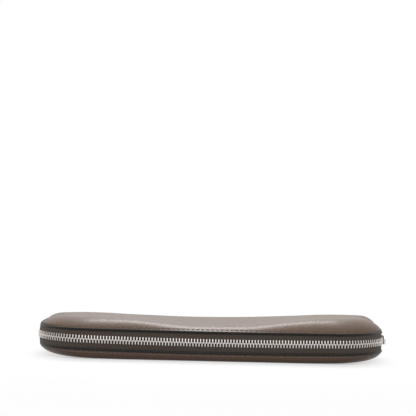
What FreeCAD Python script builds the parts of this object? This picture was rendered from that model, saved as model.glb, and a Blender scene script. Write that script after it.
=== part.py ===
import FreeCAD, Part
import math
import os

# Zip-around leather pen case, lying flat and closed. Millimetres, +Z up, the zip's long side
# faces -Y, the spine is at +Y, and the origin is the middle of the flat that it rests on.

Vector = FreeCAD.Vector

# Case: outline of the two leather rims, seen from above
CASE_LENGTH = 212.0
CASE_DEPTH = 68.0
FRONT_CORNER_RADIUS = 32.0
BACK_CORNER_RADIUS = 12.0

# Case: heights, and the smile-shaped bow that lifts both ends
BASE_RIM_HEIGHT = 5.4
ZIP_BAND_HEIGHT = 11.4
BOW_RISE = 1.5
FOOT_LENGTH = 100.0
FOOT_END_LIFT = 1.2

# Lid: heights of its crown over the rim, dipped between two crests, with rolled ends
LID_MIDDLE_RISE = 4.8
LID_LEFT_RISE = 6.8
LID_RIGHT_RISE = 7.8
LID_END_RISE = 2.6
LID_END_ROLL = 26.0
LID_TILT = 2.0

# Covers: an upright land at the rim carries the stitches, then the leather rolls over
LEATHER_THICKNESS = 1.2
LID_ROLL_RADIUS = 7.0
LID_SIDE_ROLL_RADIUS = 4.0
LID_SIDE_SHOULDER = 0.6
LID_SIDE_ROLL_STEPS = 4
BASE_ROLL_RADIUS = 3.4
HOLLOW_BEVEL_SHARE = 0.72

# Layers inside the covers
GLUE_LINE = 0.05
SEAM_GAP = 0.1
BASE_PADDING_THICKNESS = 0.7
BASE_BOARD_THICKNESS = 0.7
LID_BOARD_THICKNESS = 0.6
LINING_THICKNESS = 0.6
BASE_BOARD_MARGIN = 1.8
CLIPPED_CORNER_POINTS = 3
LID_LINING_RECESS = 0.35

# Zip tape and chain
TAPE_THICKNESS = 0.5
TAPE_SEAM = 1.3
TAPE_TAIL_GAP = 0.5
TOOTH_PITCH = 1.8
TOOTH_THICKNESS = 0.74
TOOTH_DEPTH = 2.2
TOOTH_HEAD_DEPTH = 1.3
TOOTH_REACH = 0.85
CHAIN_WIDTH = 4.5
TOOTH_SEAT = 0.95
TOOTH_SLOT_CLEARANCE = 0.06
STOP_LENGTH = 1.6
STOP_CLEARANCE = 0.4

# Zip slider
SLIDER_LENGTH = 9.0
SLIDER_PLATE = 0.85
SLIDER_FLANGE = 0.55
SLIDER_CLEARANCE = 0.1
SLIDER_THROAT_START = -1.4
SLIDER_THROAT_END = 0.2
POST_TIP = 0.7
POST_SHOULDER = 2.2
POST_LENGTH = 4.1
POST_WIDTH = 0.8
BRIDGE_LENGTH = 4.8
BRIDGE_WIDTH = 1.6
BRIDGE_THICKNESS = 0.8
BRIDGE_ROUND = 0.7

# Pull tab
PULL_LENGTH = 20.0
PULL_THICKNESS = 0.9
PULL_EYE_LENGTH = 4.2
PULL_EYE_WIDTH = 2.0
PULL_NECK_WIDTH = 4.2
PULL_END_WIDTH = 5.4
PULL_HOLE_RADIUS = 1.0
PULL_CLEARANCE = 0.1

# Spine
SPINE_FOLD_GAP = 0.7
SPINE_END_GAP = 0.4

# Pen loops
LOOP_COUNT = 3
LOOP_PITCH = 18.0
LOOP_WIDTH = 20.0
LOOP_INNER_WIDTH = 13.0
LOOP_INNER_HEIGHT = 11.7
LOOP_THICKNESS = 0.8
LOOP_FOOT = 1.2
LOOP_STRIP_MARGIN = 3.0
LOOP_STRIP_THICKNESS = 0.6

# Levels and places that follow from the sizes above
LID_RIM_HEIGHT = BASE_RIM_HEIGHT + ZIP_BAND_HEIGHT
CHAIN_HEIGHT = BASE_RIM_HEIGHT + ZIP_BAND_HEIGHT / 2
HALF_LENGTH = CASE_LENGTH / 2
HALF_DEPTH = CASE_DEPTH / 2
LID_CREST = HALF_LENGTH - LID_END_ROLL
LID_CROWN_RISE = max(LID_LEFT_RISE, LID_RIGHT_RISE) + LID_TILT / 2
OVERCUT = 2.0
FAR_ABOVE = LID_RIM_HEIGHT + LID_CROWN_RISE + BOW_RISE + OVERCUT

TAPE_INSET = LEATHER_THICKNESS + SEAM_GAP
LINING_INSET = TAPE_INSET + TAPE_THICKNESS + SEAM_GAP
PADDING_INSET = LEATHER_THICKNESS + GLUE_LINE
LID_HOLLOW_BEVEL = HOLLOW_BEVEL_SHARE * (LID_ROLL_RADIUS - LEATHER_THICKNESS)
BASE_HOLLOW_BEVEL = HOLLOW_BEVEL_SHARE * (BASE_ROLL_RADIUS - LEATHER_THICKNESS)
BOARD_INSET = LEATHER_THICKNESS + BASE_BOARD_MARGIN
SPINE_HALF_LENGTH = HALF_LENGTH - BACK_CORNER_RADIUS
SPINE_INNER_FACE = HALF_DEPTH - TAPE_INSET - LEATHER_THICKNESS

BASE_BOARD_LOW = LEATHER_THICKNESS + BASE_PADDING_THICKNESS + 2 * GLUE_LINE
BASE_LINING_LOW = BASE_BOARD_LOW + BASE_BOARD_THICKNESS + GLUE_LINE
BASE_LINING_TOP = BASE_LINING_LOW + LINING_THICKNESS
LOOP_STRIP_LOW = BASE_LINING_TOP + GLUE_LINE
LOOP_LOW = LOOP_STRIP_LOW + LOOP_STRIP_THICKNESS + GLUE_LINE
LID_LINING_LOW = LID_RIM_HEIGHT + LID_LINING_RECESS
LID_BOARD_LOW = LID_LINING_LOW + LINING_THICKNESS + GLUE_LINE
LID_PADDING_LOW = max(LID_BOARD_LOW + LID_BOARD_THICKNESS, LID_RIM_HEIGHT + TAPE_SEAM) + GLUE_LINE

CHAIN_INSET = TAPE_INSET + TAPE_THICKNESS / 2
CHAIN_CORNER_RADIUS = FRONT_CORNER_RADIUS - CHAIN_INSET
FRONT_RUN = HALF_LENGTH - FRONT_CORNER_RADIUS
CORNER_RUN = CHAIN_CORNER_RADIUS * math.pi / 2
END_RUN = CASE_DEPTH - FRONT_CORNER_RADIUS - BACK_CORNER_RADIUS
CHAIN_REACH = FRONT_RUN + CORNER_RUN + END_RUN
STOP_PLACE = CHAIN_REACH - STOP_LENGTH / 2
TEETH_REACH = CHAIN_REACH - STOP_LENGTH - STOP_CLEARANCE
SLIDER_PLACE = TEETH_REACH - SLIDER_LENGTH / 2
CLOSING_START = FRONT_RUN + CORNER_RUN

TAPE_EDGE = TOOTH_SEAT + TOOTH_SLOT_CLEARANCE
PARTING_RISE = TOOTH_REACH + POST_WIDTH / 2 + SLIDER_CLEARANCE
PARTING_PLACE = SLIDER_PLACE + SLIDER_THROAT_END
CHANNEL_DEPTH = TOOTH_DEPTH + 2 * SLIDER_CLEARANCE
SLIDER_DEPTH = CHANNEL_DEPTH + 2 * SLIDER_PLATE
SLIDER_FACE = SLIDER_DEPTH / 2
PULL_AXIS_FACE = SLIDER_FACE + PULL_CLEARANCE + PULL_THICKNESS / 2
BRIDGE_INNER_FACE = SLIDER_FACE + PULL_THICKNESS + 2 * PULL_CLEARANCE


def prism(points, direction):
    """A solid with a polygon of points as its base, drawn out along one direction."""
    outline = Part.makePolygon(points + points[:1])
    return Part.Face(outline).extrude(direction)


def box(low, high):
    """A box between its lowest and highest corner."""
    size = Vector(*high) - Vector(*low)
    return Part.makeBox(size.x, size.y, size.z, Vector(*low))


def bow(x):
    """How far the smile-shaped bow lifts the case at x."""
    return BOW_RISE * (x / HALF_LENGTH) ** 2


def length_arc(height, y):
    """An arc along the case, a little longer than the case, at a height that follows the bow."""
    reach = HALF_LENGTH + OVERCUT
    points = [Vector(x, y, height + bow(x)) for x in (-reach, 0.0, reach)]
    return Part.Arc(*points).toShape()


def bowed_slab(low, high):
    """A slab over the whole case that follows the bow."""
    reach = HALF_DEPTH + OVERCUT
    lower = length_arc(low, -reach)
    upper = length_arc(high, -reach)
    sides = [Part.makeLine(lower.Vertexes[i].Point, upper.Vertexes[i].Point) for i in (0, 1)]
    profile = Part.Wire(Part.__sortEdges__([lower, sides[1], upper, sides[0]]))
    return Part.Face(profile).extrude(Vector(0, 2 * reach, 0))


def corner_arcs(inset, height):
    """The four corner arcs of the case's outline seen from above, drawn in by an inset."""
    arcs = []
    corners = (
        (1, 1, BACK_CORNER_RADIUS, 0),
        (-1, 1, BACK_CORNER_RADIUS, 90),
        (-1, -1, FRONT_CORNER_RADIUS, 180),
        (1, -1, FRONT_CORNER_RADIUS, 270),
    )
    for side, front, radius, start in corners:
        centre = Vector(side * (HALF_LENGTH - radius), front * (HALF_DEPTH - radius), height)
        arcs.append(Part.makeCircle(radius - inset, centre, Vector(0, 0, 1), start, start + 90))
    return arcs


def outline_wire(inset, height):
    """The case's outline seen from above, drawn in by an inset."""
    arcs = corner_arcs(inset, height)
    edges = []
    for arc, following in zip(arcs, arcs[1:] + arcs[:1]):
        edges += [arc, Part.makeLine(arc.Vertexes[1].Point, following.Vertexes[0].Point)]
    return Part.Wire(edges)


def clipped_block(inset):
    """A tall block inside the outline whose corners are clipped straight, as sheet stock is cut."""
    points = []
    for arc in corner_arcs(inset, 0.0):
        points += arc.discretize(CLIPPED_CORNER_POINTS)
    return prism(points, Vector(0, 0, FAR_ABOVE))


def plate(inset, low, high):
    """A sheet of the case's outline that follows the bow."""
    return outline_block(inset, 0.0, FAR_ABOVE).common(bowed_slab(low, high))


def rim_wall(inset, thickness, low, high):
    """A thin upright wall that runs round the case and follows the bow."""
    return plate(inset, low, high).cut(plate(inset + thickness, low - OVERCUT, high + OVERCUT))


def crown_edges(block, crown):
    """The edges of a block that lie at its crown."""
    return [edge for edge in block.Edges if all(abs(v.Z - crown) < GLUE_LINE for v in edge.Vertexes)]


def outline_block(inset, start, crown):
    """A block of the case's outline from start to crown."""
    return Part.Face(outline_wire(inset, start)).extrude(Vector(0, 0, crown - start))


def end_arc(dip, crest, end_height):
    """The arc that carries a dip on past its crest without a kink and falls to the end's height."""
    side = 1 if crest.x > 0 else -1
    end = Vector(side * HALF_LENGTH, crest.y, end_height)
    downwards = (crest - dip.Curve.Center).normalize()
    chord = end - crest
    radius = chord.dot(chord) / (2 * chord.dot(downwards))
    centre = crest + downwards * radius
    reach = HALF_LENGTH + OVERCUT
    points = [crest]
    for x in (side * (LID_CREST + reach) / 2, side * reach):
        points.append(Vector(x, crest.y, centre.z + math.sqrt(radius ** 2 - (x - centre.x) ** 2)))
    return Part.Arc(*points[::side]).toShape()


def lid_spine(inset):
    """The line along the middle of the lid's top: a dip between two crests, and two rolled ends."""
    level = LID_RIM_HEIGHT - inset
    left = Vector(-LID_CREST, 0, level + LID_LEFT_RISE)
    right = Vector(LID_CREST, 0, level + LID_RIGHT_RISE)
    dip = Part.Arc(left, Vector(0, 0, level + LID_MIDDLE_RISE), right).toShape()
    end_height = level + BOW_RISE + LID_END_RISE
    return [end_arc(dip, left, end_height), dip, end_arc(dip, right, end_height)]


def lid_section(inset):
    """Points across the lid's bar, seen along the case: tilted to the front, with rolled sides."""
    half = HALF_DEPTH + LID_SIDE_SHOULDER - inset
    radius = LID_SIDE_ROLL_RADIUS - inset
    roll = []
    for step in range(LID_SIDE_ROLL_STEPS + 1):
        turn = math.pi / 2 * step / LID_SIDE_ROLL_STEPS
        roll.append((half - radius * (1 - math.cos(turn)), -radius * (1 - math.sin(turn))))
    below = -LID_CROWN_RISE - OVERCUT
    front = [(-across, rise - LID_TILT / 2) for across, rise in roll]
    back = [(across, rise + LID_TILT / 2) for across, rise in reversed(roll)]
    return [(-half, below)] + front + back + [(half, below)]


def lid_barrel(inset):
    """A bar along the case under the lid's top, a little wider than the case."""
    edges = lid_spine(inset)
    start = edges[0].valueAt(edges[0].FirstParameter)
    along = edges[0].tangentAt(edges[0].FirstParameter)
    upwards = Vector(-along.z, 0, along.x)
    points = [start + Vector(0, across, 0) + upwards * rise for across, rise in lid_section(inset)]
    section = Part.makePolygon(points + points[:1])
    return Part.Wire(edges).makePipeShell([section], True, False)


def foot_block(inset):
    """A block over the whole case with a flat foot below, whose ends curve up off the table."""
    reach = HALF_LENGTH + OVERCUT
    foot = FOOT_LENGTH / 2
    edges = []
    for side in (-1, 1):
        points = []
        for x in (foot, (foot + reach) / 2, reach):
            lift = FOOT_END_LIFT * ((x - foot) / (HALF_LENGTH - foot)) ** 2
            points.append(Vector(side * x, -HALF_DEPTH - OVERCUT, inset + lift))
        edges.append(Part.Arc(*points).toShape())
        edges.append(Part.makeLine(points[-1], Vector(side * reach, points[-1].y, FAR_ABOVE)))
    low, high = -HALF_DEPTH - OVERCUT, HALF_DEPTH + OVERCUT
    edges.append(Part.makeLine(Vector(-foot, low, inset), Vector(foot, low, inset)))
    edges.append(Part.makeLine(Vector(-reach, low, FAR_ABOVE), Vector(reach, low, FAR_ABOVE)))
    profile = Part.Wire(Part.__sortEdges__(edges))
    return Part.Face(profile).extrude(Vector(0, high - low, 0))


def upper_cover():
    """Domed leather: rolled over all round a dipped crown with falling ends, and hollow below."""
    start = LID_RIM_HEIGHT - OVERCUT
    crown = LID_RIM_HEIGHT + LID_CROWN_RISE + GLUE_LINE
    block = outline_block(0.0, start, crown)
    outer = block.makeFillet(LID_ROLL_RADIUS, crown_edges(block, crown))
    outer = outer.common(lid_barrel(0.0)).common(bowed_slab(LID_RIM_HEIGHT, FAR_ABOVE))
    inner_crown = crown - LEATHER_THICKNESS
    hollow = outline_block(LEATHER_THICKNESS, start, inner_crown)
    hollow = hollow.makeChamfer(LID_HOLLOW_BEVEL, crown_edges(hollow, inner_crown))
    return outer.cut(hollow.common(lid_barrel(LEATHER_THICKNESS)))


def lower_cover():
    """Dished leather: rolled under at the edge, with a flat foot and a bevelled hollow."""
    start = BASE_RIM_HEIGHT + BOW_RISE + OVERCUT
    block = outline_block(0.0, start, 0.0)
    outer = block.makeFillet(BASE_ROLL_RADIUS, crown_edges(block, 0.0))
    outer = outer.common(foot_block(0.0)).common(bowed_slab(-OVERCUT, BASE_RIM_HEIGHT))
    hollow = outline_block(LEATHER_THICKNESS, start, LEATHER_THICKNESS)
    hollow = hollow.makeChamfer(BASE_HOLLOW_BEVEL, crown_edges(hollow, LEATHER_THICKNESS))
    return outer.cut(hollow.common(foot_block(LEATHER_THICKNESS)))


def upper_padding():
    """Foam that fills the lid's crown inside its roll."""
    sheet = clipped_block(PADDING_INSET + LID_HOLLOW_BEVEL)
    return sheet.common(lid_barrel(PADDING_INSET)).common(bowed_slab(LID_PADDING_LOW, FAR_ABOVE))


def lower_padding():
    """A thin foam sheet on the base leather."""
    top = PADDING_INSET + BASE_PADDING_THICKNESS
    sheet = clipped_block(PADDING_INSET + BASE_HOLLOW_BEVEL)
    return sheet.common(foot_block(PADDING_INSET)).common(bowed_slab(-OVERCUT, top))


def upper_board():
    slab = bowed_slab(LID_BOARD_LOW, LID_BOARD_LOW + LID_BOARD_THICKNESS)
    return clipped_block(LINING_INSET).common(slab)


def lower_board():
    slab = bowed_slab(BASE_BOARD_LOW, BASE_BOARD_LOW + BASE_BOARD_THICKNESS)
    return clipped_block(BOARD_INSET).common(slab)


def upper_lining():
    return plate(LINING_INSET, LID_LINING_LOW, LID_LINING_LOW + LINING_THICKNESS)


def lower_lining():
    """A shallow tray whose lip reaches the rim behind the zip tape."""
    floor = plate(LINING_INSET, BASE_LINING_LOW, BASE_LINING_TOP)
    lip = rim_wall(LINING_INSET, LINING_THICKNESS, BASE_LINING_LOW, BASE_RIM_HEIGHT)
    return floor.fuse(lip).removeSplitter()


def chain_placement(distance, lift):
    """Where the chain is at a distance from the middle of the front, with its turn and slope."""
    side = 1 if distance >= 0 else -1
    along = abs(distance)
    turn = min(max(along - FRONT_RUN, 0.0), CORNER_RUN) / CHAIN_CORNER_RADIUS
    past_corner = max(along - FRONT_RUN - CORNER_RUN, 0.0)
    x = side * (min(along, FRONT_RUN) + CHAIN_CORNER_RADIUS * math.sin(turn))
    y = FRONT_CORNER_RADIUS - HALF_DEPTH - CHAIN_CORNER_RADIUS * math.cos(turn) + past_corner
    slope = 2 * BOW_RISE * x / HALF_LENGTH ** 2 * math.cos(turn)
    heading = FreeCAD.Rotation(Vector(0, 0, 1), math.degrees(side * turn))
    climb = FreeCAD.Rotation(Vector(0, 1, 0), -math.degrees(math.atan(slope)))
    return FreeCAD.Placement(Vector(x, y, CHAIN_HEIGHT + bow(x) + lift), heading.multiply(climb))


def clip_solid(row, thickness, reach, head_depth):
    """A clip that grips the tape's edge: two legs beside the tape and a tapered head past the edge."""
    slot = TAPE_THICKNESS / 2 + TOOTH_SLOT_CLEARANCE
    right_side = [
        (head_depth / 2, -reach),
        (TOOTH_DEPTH / 2, CHAIN_WIDTH / 2),
        (slot, CHAIN_WIDTH / 2),
        (slot, TOOTH_SEAT),
    ]
    left_side = [(-depth, height) for depth, height in reversed(right_side)]
    points = [Vector(-thickness / 2, depth, row * height) for depth, height in right_side + left_side]
    return prism(points, Vector(thickness, 0, 0))


def row_places(row):
    """Distances of one row's teeth. The two rows are set half a pitch apart, so that they mesh."""
    offset = TOOTH_PITCH / 2 if row > 0 else 0.0
    count = math.ceil(TEETH_REACH / TOOTH_PITCH)
    places = [index * TOOTH_PITCH + offset for index in range(-count, count + 1)]
    limit = TEETH_REACH - TOOTH_THICKNESS / 2
    return [place for place in places if abs(place) <= limit]


def tooth_lift(row, place):
    """Teeth past the slider's throat are parted to either side of its post."""
    parted = place - TOOTH_THICKNESS / 2 > PARTING_PLACE
    return row * PARTING_RISE if parted else 0.0


def teeth(row, places):
    """A group of separate teeth along the chain."""
    solids = []
    for place in places:
        tooth = clip_solid(row, TOOTH_THICKNESS, TOOTH_REACH, TOOTH_HEAD_DEPTH)
        tooth.Placement = chain_placement(place, tooth_lift(row, place))
        solids.append(tooth)
    return Part.makeCompound(solids)


def main_teeth(row):
    """The row from the far end of the zip round to the straight stretch that the slider travels."""
    return teeth(row, [place for place in row_places(row) if place < CLOSING_START])


def closing_teeth(row):
    """The row's last straight stretch, which the slider parts and joins as it travels."""
    return teeth(row, [place for place in row_places(row) if place >= CLOSING_START])


def zip_stops(row):
    """The two clips that end one row, the right-hand one parted with its tape."""
    solids = []
    for side in (-1, 1):
        stop = clip_solid(row, STOP_LENGTH, -TOOTH_SEAT / 2, TOOTH_DEPTH)
        lift = row * PARTING_RISE if side > 0 else 0.0
        stop.Placement = chain_placement(side * STOP_PLACE, lift)
        solids.append(stop)
    return Part.makeCompound(solids)


def zip_tape(row):
    """One half of the tape, from its seam behind the rim to its edge in the teeth.

    It is spread apart at the slider's mouth, and its two tails almost meet round the back corners.
    """
    tail_edge = CHAIN_HEIGHT + row * TAPE_TAIL_GAP / 2
    if row > 0:
        tape = rim_wall(TAPE_INSET, TAPE_THICKNESS, tail_edge, LID_RIM_HEIGHT + TAPE_SEAM)
    else:
        tape = rim_wall(TAPE_INSET, TAPE_THICKNESS, BASE_RIM_HEIGHT - TAPE_SEAM, tail_edge)
    tail_start = HALF_DEPTH - BACK_CORNER_RADIUS + SEAM_GAP
    before_tail = box((-CASE_LENGTH, -CASE_DEPTH, 0.0), (CASE_LENGTH, tail_start, FAR_ABOVE))
    chain_space = before_tail.common(bowed_slab(CHAIN_HEIGHT - TAPE_EDGE, CHAIN_HEIGHT + TAPE_EDGE))
    reach = SPINE_HALF_LENGTH + SEAM_GAP
    spine_space = box((-reach, 0.0, 0.0), (reach, CASE_DEPTH, FAR_ABOVE))
    parting_start = PARTING_PLACE - CLOSING_START + FRONT_CORNER_RADIUS - HALF_DEPTH
    middle = CHAIN_HEIGHT + bow(HALF_LENGTH - CHAIN_INSET)
    spread = TAPE_EDGE + PARTING_RISE
    parting = box((0.0, parting_start, middle - spread), (CASE_LENGTH, tail_start, middle + spread))
    return tape.cut(chain_space).cut(spine_space).cut(parting)


def mirrored_profile(points):
    """Polygon in the chain's plane from its upper half, mirrored below the middle line."""
    return points + [(along, -height) for along, height in reversed(points)]


def chain_prism(points, face, depth):
    """A prism whose polygon lies in the chain's plane, from a face outwards (towards -Y)."""
    corners = [Vector(along, -face, height) for along, height in points]
    return prism(corners, Vector(0, -depth, 0))


def slider_body():
    """Two plates with flanges, open at both ends, with a post in the mouth and a bridge outside."""
    half = SLIDER_LENGTH / 2
    rear = CHAIN_WIDTH / 2 + SLIDER_CLEARANCE
    mouth = rear + PARTING_RISE
    throat = [(SLIDER_THROAT_START, 0.0), (SLIDER_THROAT_END, PARTING_RISE)]
    inside = [(-half - OVERCUT, rear)]
    inside += [(along, rear + spread) for along, spread in throat]
    inside += [(half + OVERCUT, mouth)]
    outside = [(-half, rear + SLIDER_FLANGE)]
    outside += [(along, rear + SLIDER_FLANGE + spread) for along, spread in throat]
    outside += [(half, mouth + SLIDER_FLANGE)]
    body = chain_prism(mirrored_profile(outside), -SLIDER_FACE, SLIDER_DEPTH)
    channel = chain_prism(mirrored_profile(inside), -CHANNEL_DEPTH / 2, CHANNEL_DEPTH)
    tape_slot = TAPE_THICKNESS / 2 + SLIDER_CLEARANCE
    slot = box((-SLIDER_LENGTH, -tape_slot, -SLIDER_LENGTH), (SLIDER_LENGTH, tape_slot, SLIDER_LENGTH))
    post_outline = [(POST_TIP, 0.0), (POST_SHOULDER, POST_WIDTH / 2), (POST_LENGTH, POST_WIDTH / 2)]
    post_corners = post_outline + [(along, -height) for along, height in reversed(post_outline[1:])]
    post = chain_prism(post_corners, -SLIDER_FACE, SLIDER_DEPTH)
    solid = body.cut(channel).cut(slot).fuse(post).fuse(slider_bridge()).removeSplitter()
    solid.Placement = chain_placement(SLIDER_PLACE, 0.0)
    return solid


def slider_bridge():
    """The arch on the outer plate that holds the pull tab's crossbar."""
    half = BRIDGE_LENGTH / 2
    top = BRIDGE_INNER_FACE + BRIDGE_THICKNESS
    arch = box((-half, -top, -BRIDGE_WIDTH / 2), (half, -SLIDER_FACE, BRIDGE_WIDTH / 2))
    shoulders = [
        edge
        for edge in arch.Edges
        if all(abs(v.Y + top) < GLUE_LINE for v in edge.Vertexes)
        and abs(edge.Vertexes[0].X - edge.Vertexes[1].X) < GLUE_LINE
    ]
    arch = arch.makeFillet(BRIDGE_ROUND, shoulders)
    inner = half - BRIDGE_THICKNESS
    opening = box((-inner, -BRIDGE_INNER_FACE, -BRIDGE_WIDTH), (inner, -SLIDER_FACE, BRIDGE_WIDTH))
    return arch.cut(opening)


def pull_tab():
    """A tapered tab with an eye round the bridge and a round crossbar under it."""
    half = PULL_THICKNESS / 2
    face = PULL_AXIS_FACE - half
    end_radius = PULL_END_WIDTH / 2
    blank = mirrored_profile([(-PULL_LENGTH + end_radius, end_radius), (0.0, PULL_NECK_WIDTH / 2)])
    tab = chain_prism(blank, face, PULL_THICKNESS)
    outwards = Vector(0, -1, 0)
    end_centre = Vector(-PULL_LENGTH + end_radius, -face, 0)
    tab = tab.fuse(Part.makeCylinder(end_radius, PULL_THICKNESS, end_centre, outwards))
    eye = box(
        (-PULL_EYE_LENGTH, -face - PULL_THICKNESS, -PULL_EYE_WIDTH / 2),
        (OVERCUT, -face, PULL_EYE_WIDTH / 2),
    )
    hole = Part.makeCylinder(PULL_HOLE_RADIUS, PULL_THICKNESS, end_centre, outwards)
    bar_start = Vector(0, -PULL_AXIS_FACE, -PULL_NECK_WIDTH / 2)
    crossbar = Part.makeCylinder(half, PULL_NECK_WIDTH, bar_start, Vector(0, 0, 1))
    solid = tab.cut(eye).cut(hole).fuse(crossbar).removeSplitter()
    solid.Placement = chain_placement(SLIDER_PLACE, 0.0)
    return solid


def spine_strip(inner_face, thickness, fold_gap):
    """An upright strip along the straight back, clear of the two folds."""
    reach = SPINE_HALF_LENGTH - SPINE_END_GAP
    strip = box((-reach, inner_face, 0.0), (reach, inner_face + thickness, FAR_ABOVE))
    return strip.common(bowed_slab(BASE_RIM_HEIGHT + fold_gap, LID_RIM_HEIGHT - fold_gap))


def spine_gusset():
    return spine_strip(SPINE_INNER_FACE, LEATHER_THICKNESS, SPINE_FOLD_GAP)


def spine_lining():
    return spine_strip(SPINE_INNER_FACE - GLUE_LINE - LINING_THICKNESS, LINING_THICKNESS, SPINE_FOLD_GAP)


def pen_loop(y):
    """An arched loop with two legs and turned-out feet, open along the case."""
    inner = LOOP_INNER_WIDTH / 2
    outer = inner + LOOP_THICKNESS
    foot = outer + LOOP_FOOT
    spring = LOOP_LOW + LOOP_INNER_HEIGHT - inner
    foot_top = LOOP_LOW + LOOP_THICKNESS
    x = -LOOP_WIDTH / 2

    def corner(across, height):
        return Vector(x, y + across, height)

    right_leg = [(outer, spring), (outer, foot_top), (foot, foot_top), (foot, LOOP_LOW), (inner, LOOP_LOW)]
    right = [corner(*point) for point in right_leg] + [corner(inner, spring)]
    left = [corner(-across, height) for across, height in right_leg] + [corner(-inner, spring)]
    inner_arc = Part.Arc(right[-1], corner(0.0, spring + inner), left[-1]).toShape()
    outer_arc = Part.Arc(left[0], corner(0.0, spring + outer), right[0]).toShape()
    edges = [inner_arc, outer_arc]
    for leg in (right, left):
        edges += [Part.makeLine(leg[i], leg[i + 1]) for i in range(len(leg) - 1)]
    profile = Part.Wire(Part.__sortEdges__(edges))
    return Part.Face(profile).extrude(Vector(LOOP_WIDTH, 0, 0))


def loop_strip():
    """The leather strip on the base lining that the loops are sewn to."""
    half_width = LOOP_WIDTH / 2 + LOOP_STRIP_MARGIN
    half_span = (LOOP_PITCH * (LOOP_COUNT - 1) + LOOP_INNER_WIDTH) / 2
    half_span += LOOP_THICKNESS + LOOP_FOOT + LOOP_STRIP_MARGIN / 2
    strip = box((-half_width, -half_span, 0.0), (half_width, half_span, FAR_ABOVE))
    return strip.common(bowed_slab(LOOP_STRIP_LOW, LOOP_STRIP_LOW + LOOP_STRIP_THICKNESS))


def all_nodes():
    """Every separate piece of the case by name."""
    nodes = {
        "lower_cover": lower_cover(),
        "lower_padding": lower_padding(),
        "lower_board": lower_board(),
        "lower_lining": lower_lining(),
        "upper_cover": upper_cover(),
        "upper_padding": upper_padding(),
        "upper_board": upper_board(),
        "upper_lining": upper_lining(),
        "spine_gusset": spine_gusset(),
        "spine_lining": spine_lining(),
        "slider_body": slider_body(),
        "pull_tab": pull_tab(),
        "loop_strip": loop_strip(),
    }
    for name, row in (("lower", -1), ("upper", 1)):
        nodes[name + "_zip_tape"] = zip_tape(row)
        nodes[name + "_zip_teeth"] = main_teeth(row)
        nodes[name + "_closing_teeth"] = closing_teeth(row)
        nodes[name + "_zip_stops"] = zip_stops(row)
    for index in range(LOOP_COUNT):
        y = LOOP_PITCH * (index - (LOOP_COUNT - 1) / 2)
        nodes["pen_loop_%d" % (index + 1)] = pen_loop(y)
    return nodes


os.makedirs("parts", exist_ok=True)
for node, shape in all_nodes().items():
    shape.exportStep("parts/%s.step" % node)
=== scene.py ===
import math

import bmesh
import bpy
import numpy as np
from mathutils import Euler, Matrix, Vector


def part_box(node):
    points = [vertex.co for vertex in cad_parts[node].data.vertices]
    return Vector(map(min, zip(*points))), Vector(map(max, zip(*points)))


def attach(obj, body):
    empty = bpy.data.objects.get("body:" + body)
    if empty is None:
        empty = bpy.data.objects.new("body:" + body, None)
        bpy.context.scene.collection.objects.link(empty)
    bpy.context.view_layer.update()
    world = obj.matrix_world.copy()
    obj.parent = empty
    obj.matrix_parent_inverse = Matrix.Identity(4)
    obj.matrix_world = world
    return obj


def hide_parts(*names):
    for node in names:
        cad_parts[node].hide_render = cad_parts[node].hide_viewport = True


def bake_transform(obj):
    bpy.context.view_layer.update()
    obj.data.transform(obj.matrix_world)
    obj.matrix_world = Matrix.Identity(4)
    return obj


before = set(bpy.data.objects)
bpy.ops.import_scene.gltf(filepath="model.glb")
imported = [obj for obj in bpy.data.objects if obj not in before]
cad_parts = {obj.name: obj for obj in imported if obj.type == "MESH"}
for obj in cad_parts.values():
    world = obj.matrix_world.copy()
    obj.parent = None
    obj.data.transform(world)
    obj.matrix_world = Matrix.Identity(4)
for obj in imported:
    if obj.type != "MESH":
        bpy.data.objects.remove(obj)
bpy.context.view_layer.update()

bl_info = {
    "name": "Zip Pen Case",
    "version": (1, 0, 0),
    "blender": (4, 5, 0),
    "location": "View3D > Sidebar > Pen Case",
    "description": "Dresses the packed pen case in leather, zip, lining and a plain stage",
    "category": "Object",
}

# All lengths are in metres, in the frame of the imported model: +Z up, the zip's long side faces -Y.
MM = 0.001
COVER_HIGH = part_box("upper_cover")[1]


def setting(kind, **fixed):
    """A maker of settings of one kind, each from its name, its description and its default."""
    return lambda name, text, default: kind(name=name, description=text, default=default, **fixed)


length = setting(bpy.props.FloatProperty, unit="LENGTH", precision=5, step=1)
number = setting(bpy.props.FloatProperty, precision=3)
angle = setting(bpy.props.FloatProperty, subtype="ANGLE")
count = setting(bpy.props.IntProperty, min=1)
colour = setting(bpy.props.FloatVectorProperty, size=3, subtype="COLOR", min=0.0, max=1.0)


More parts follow.
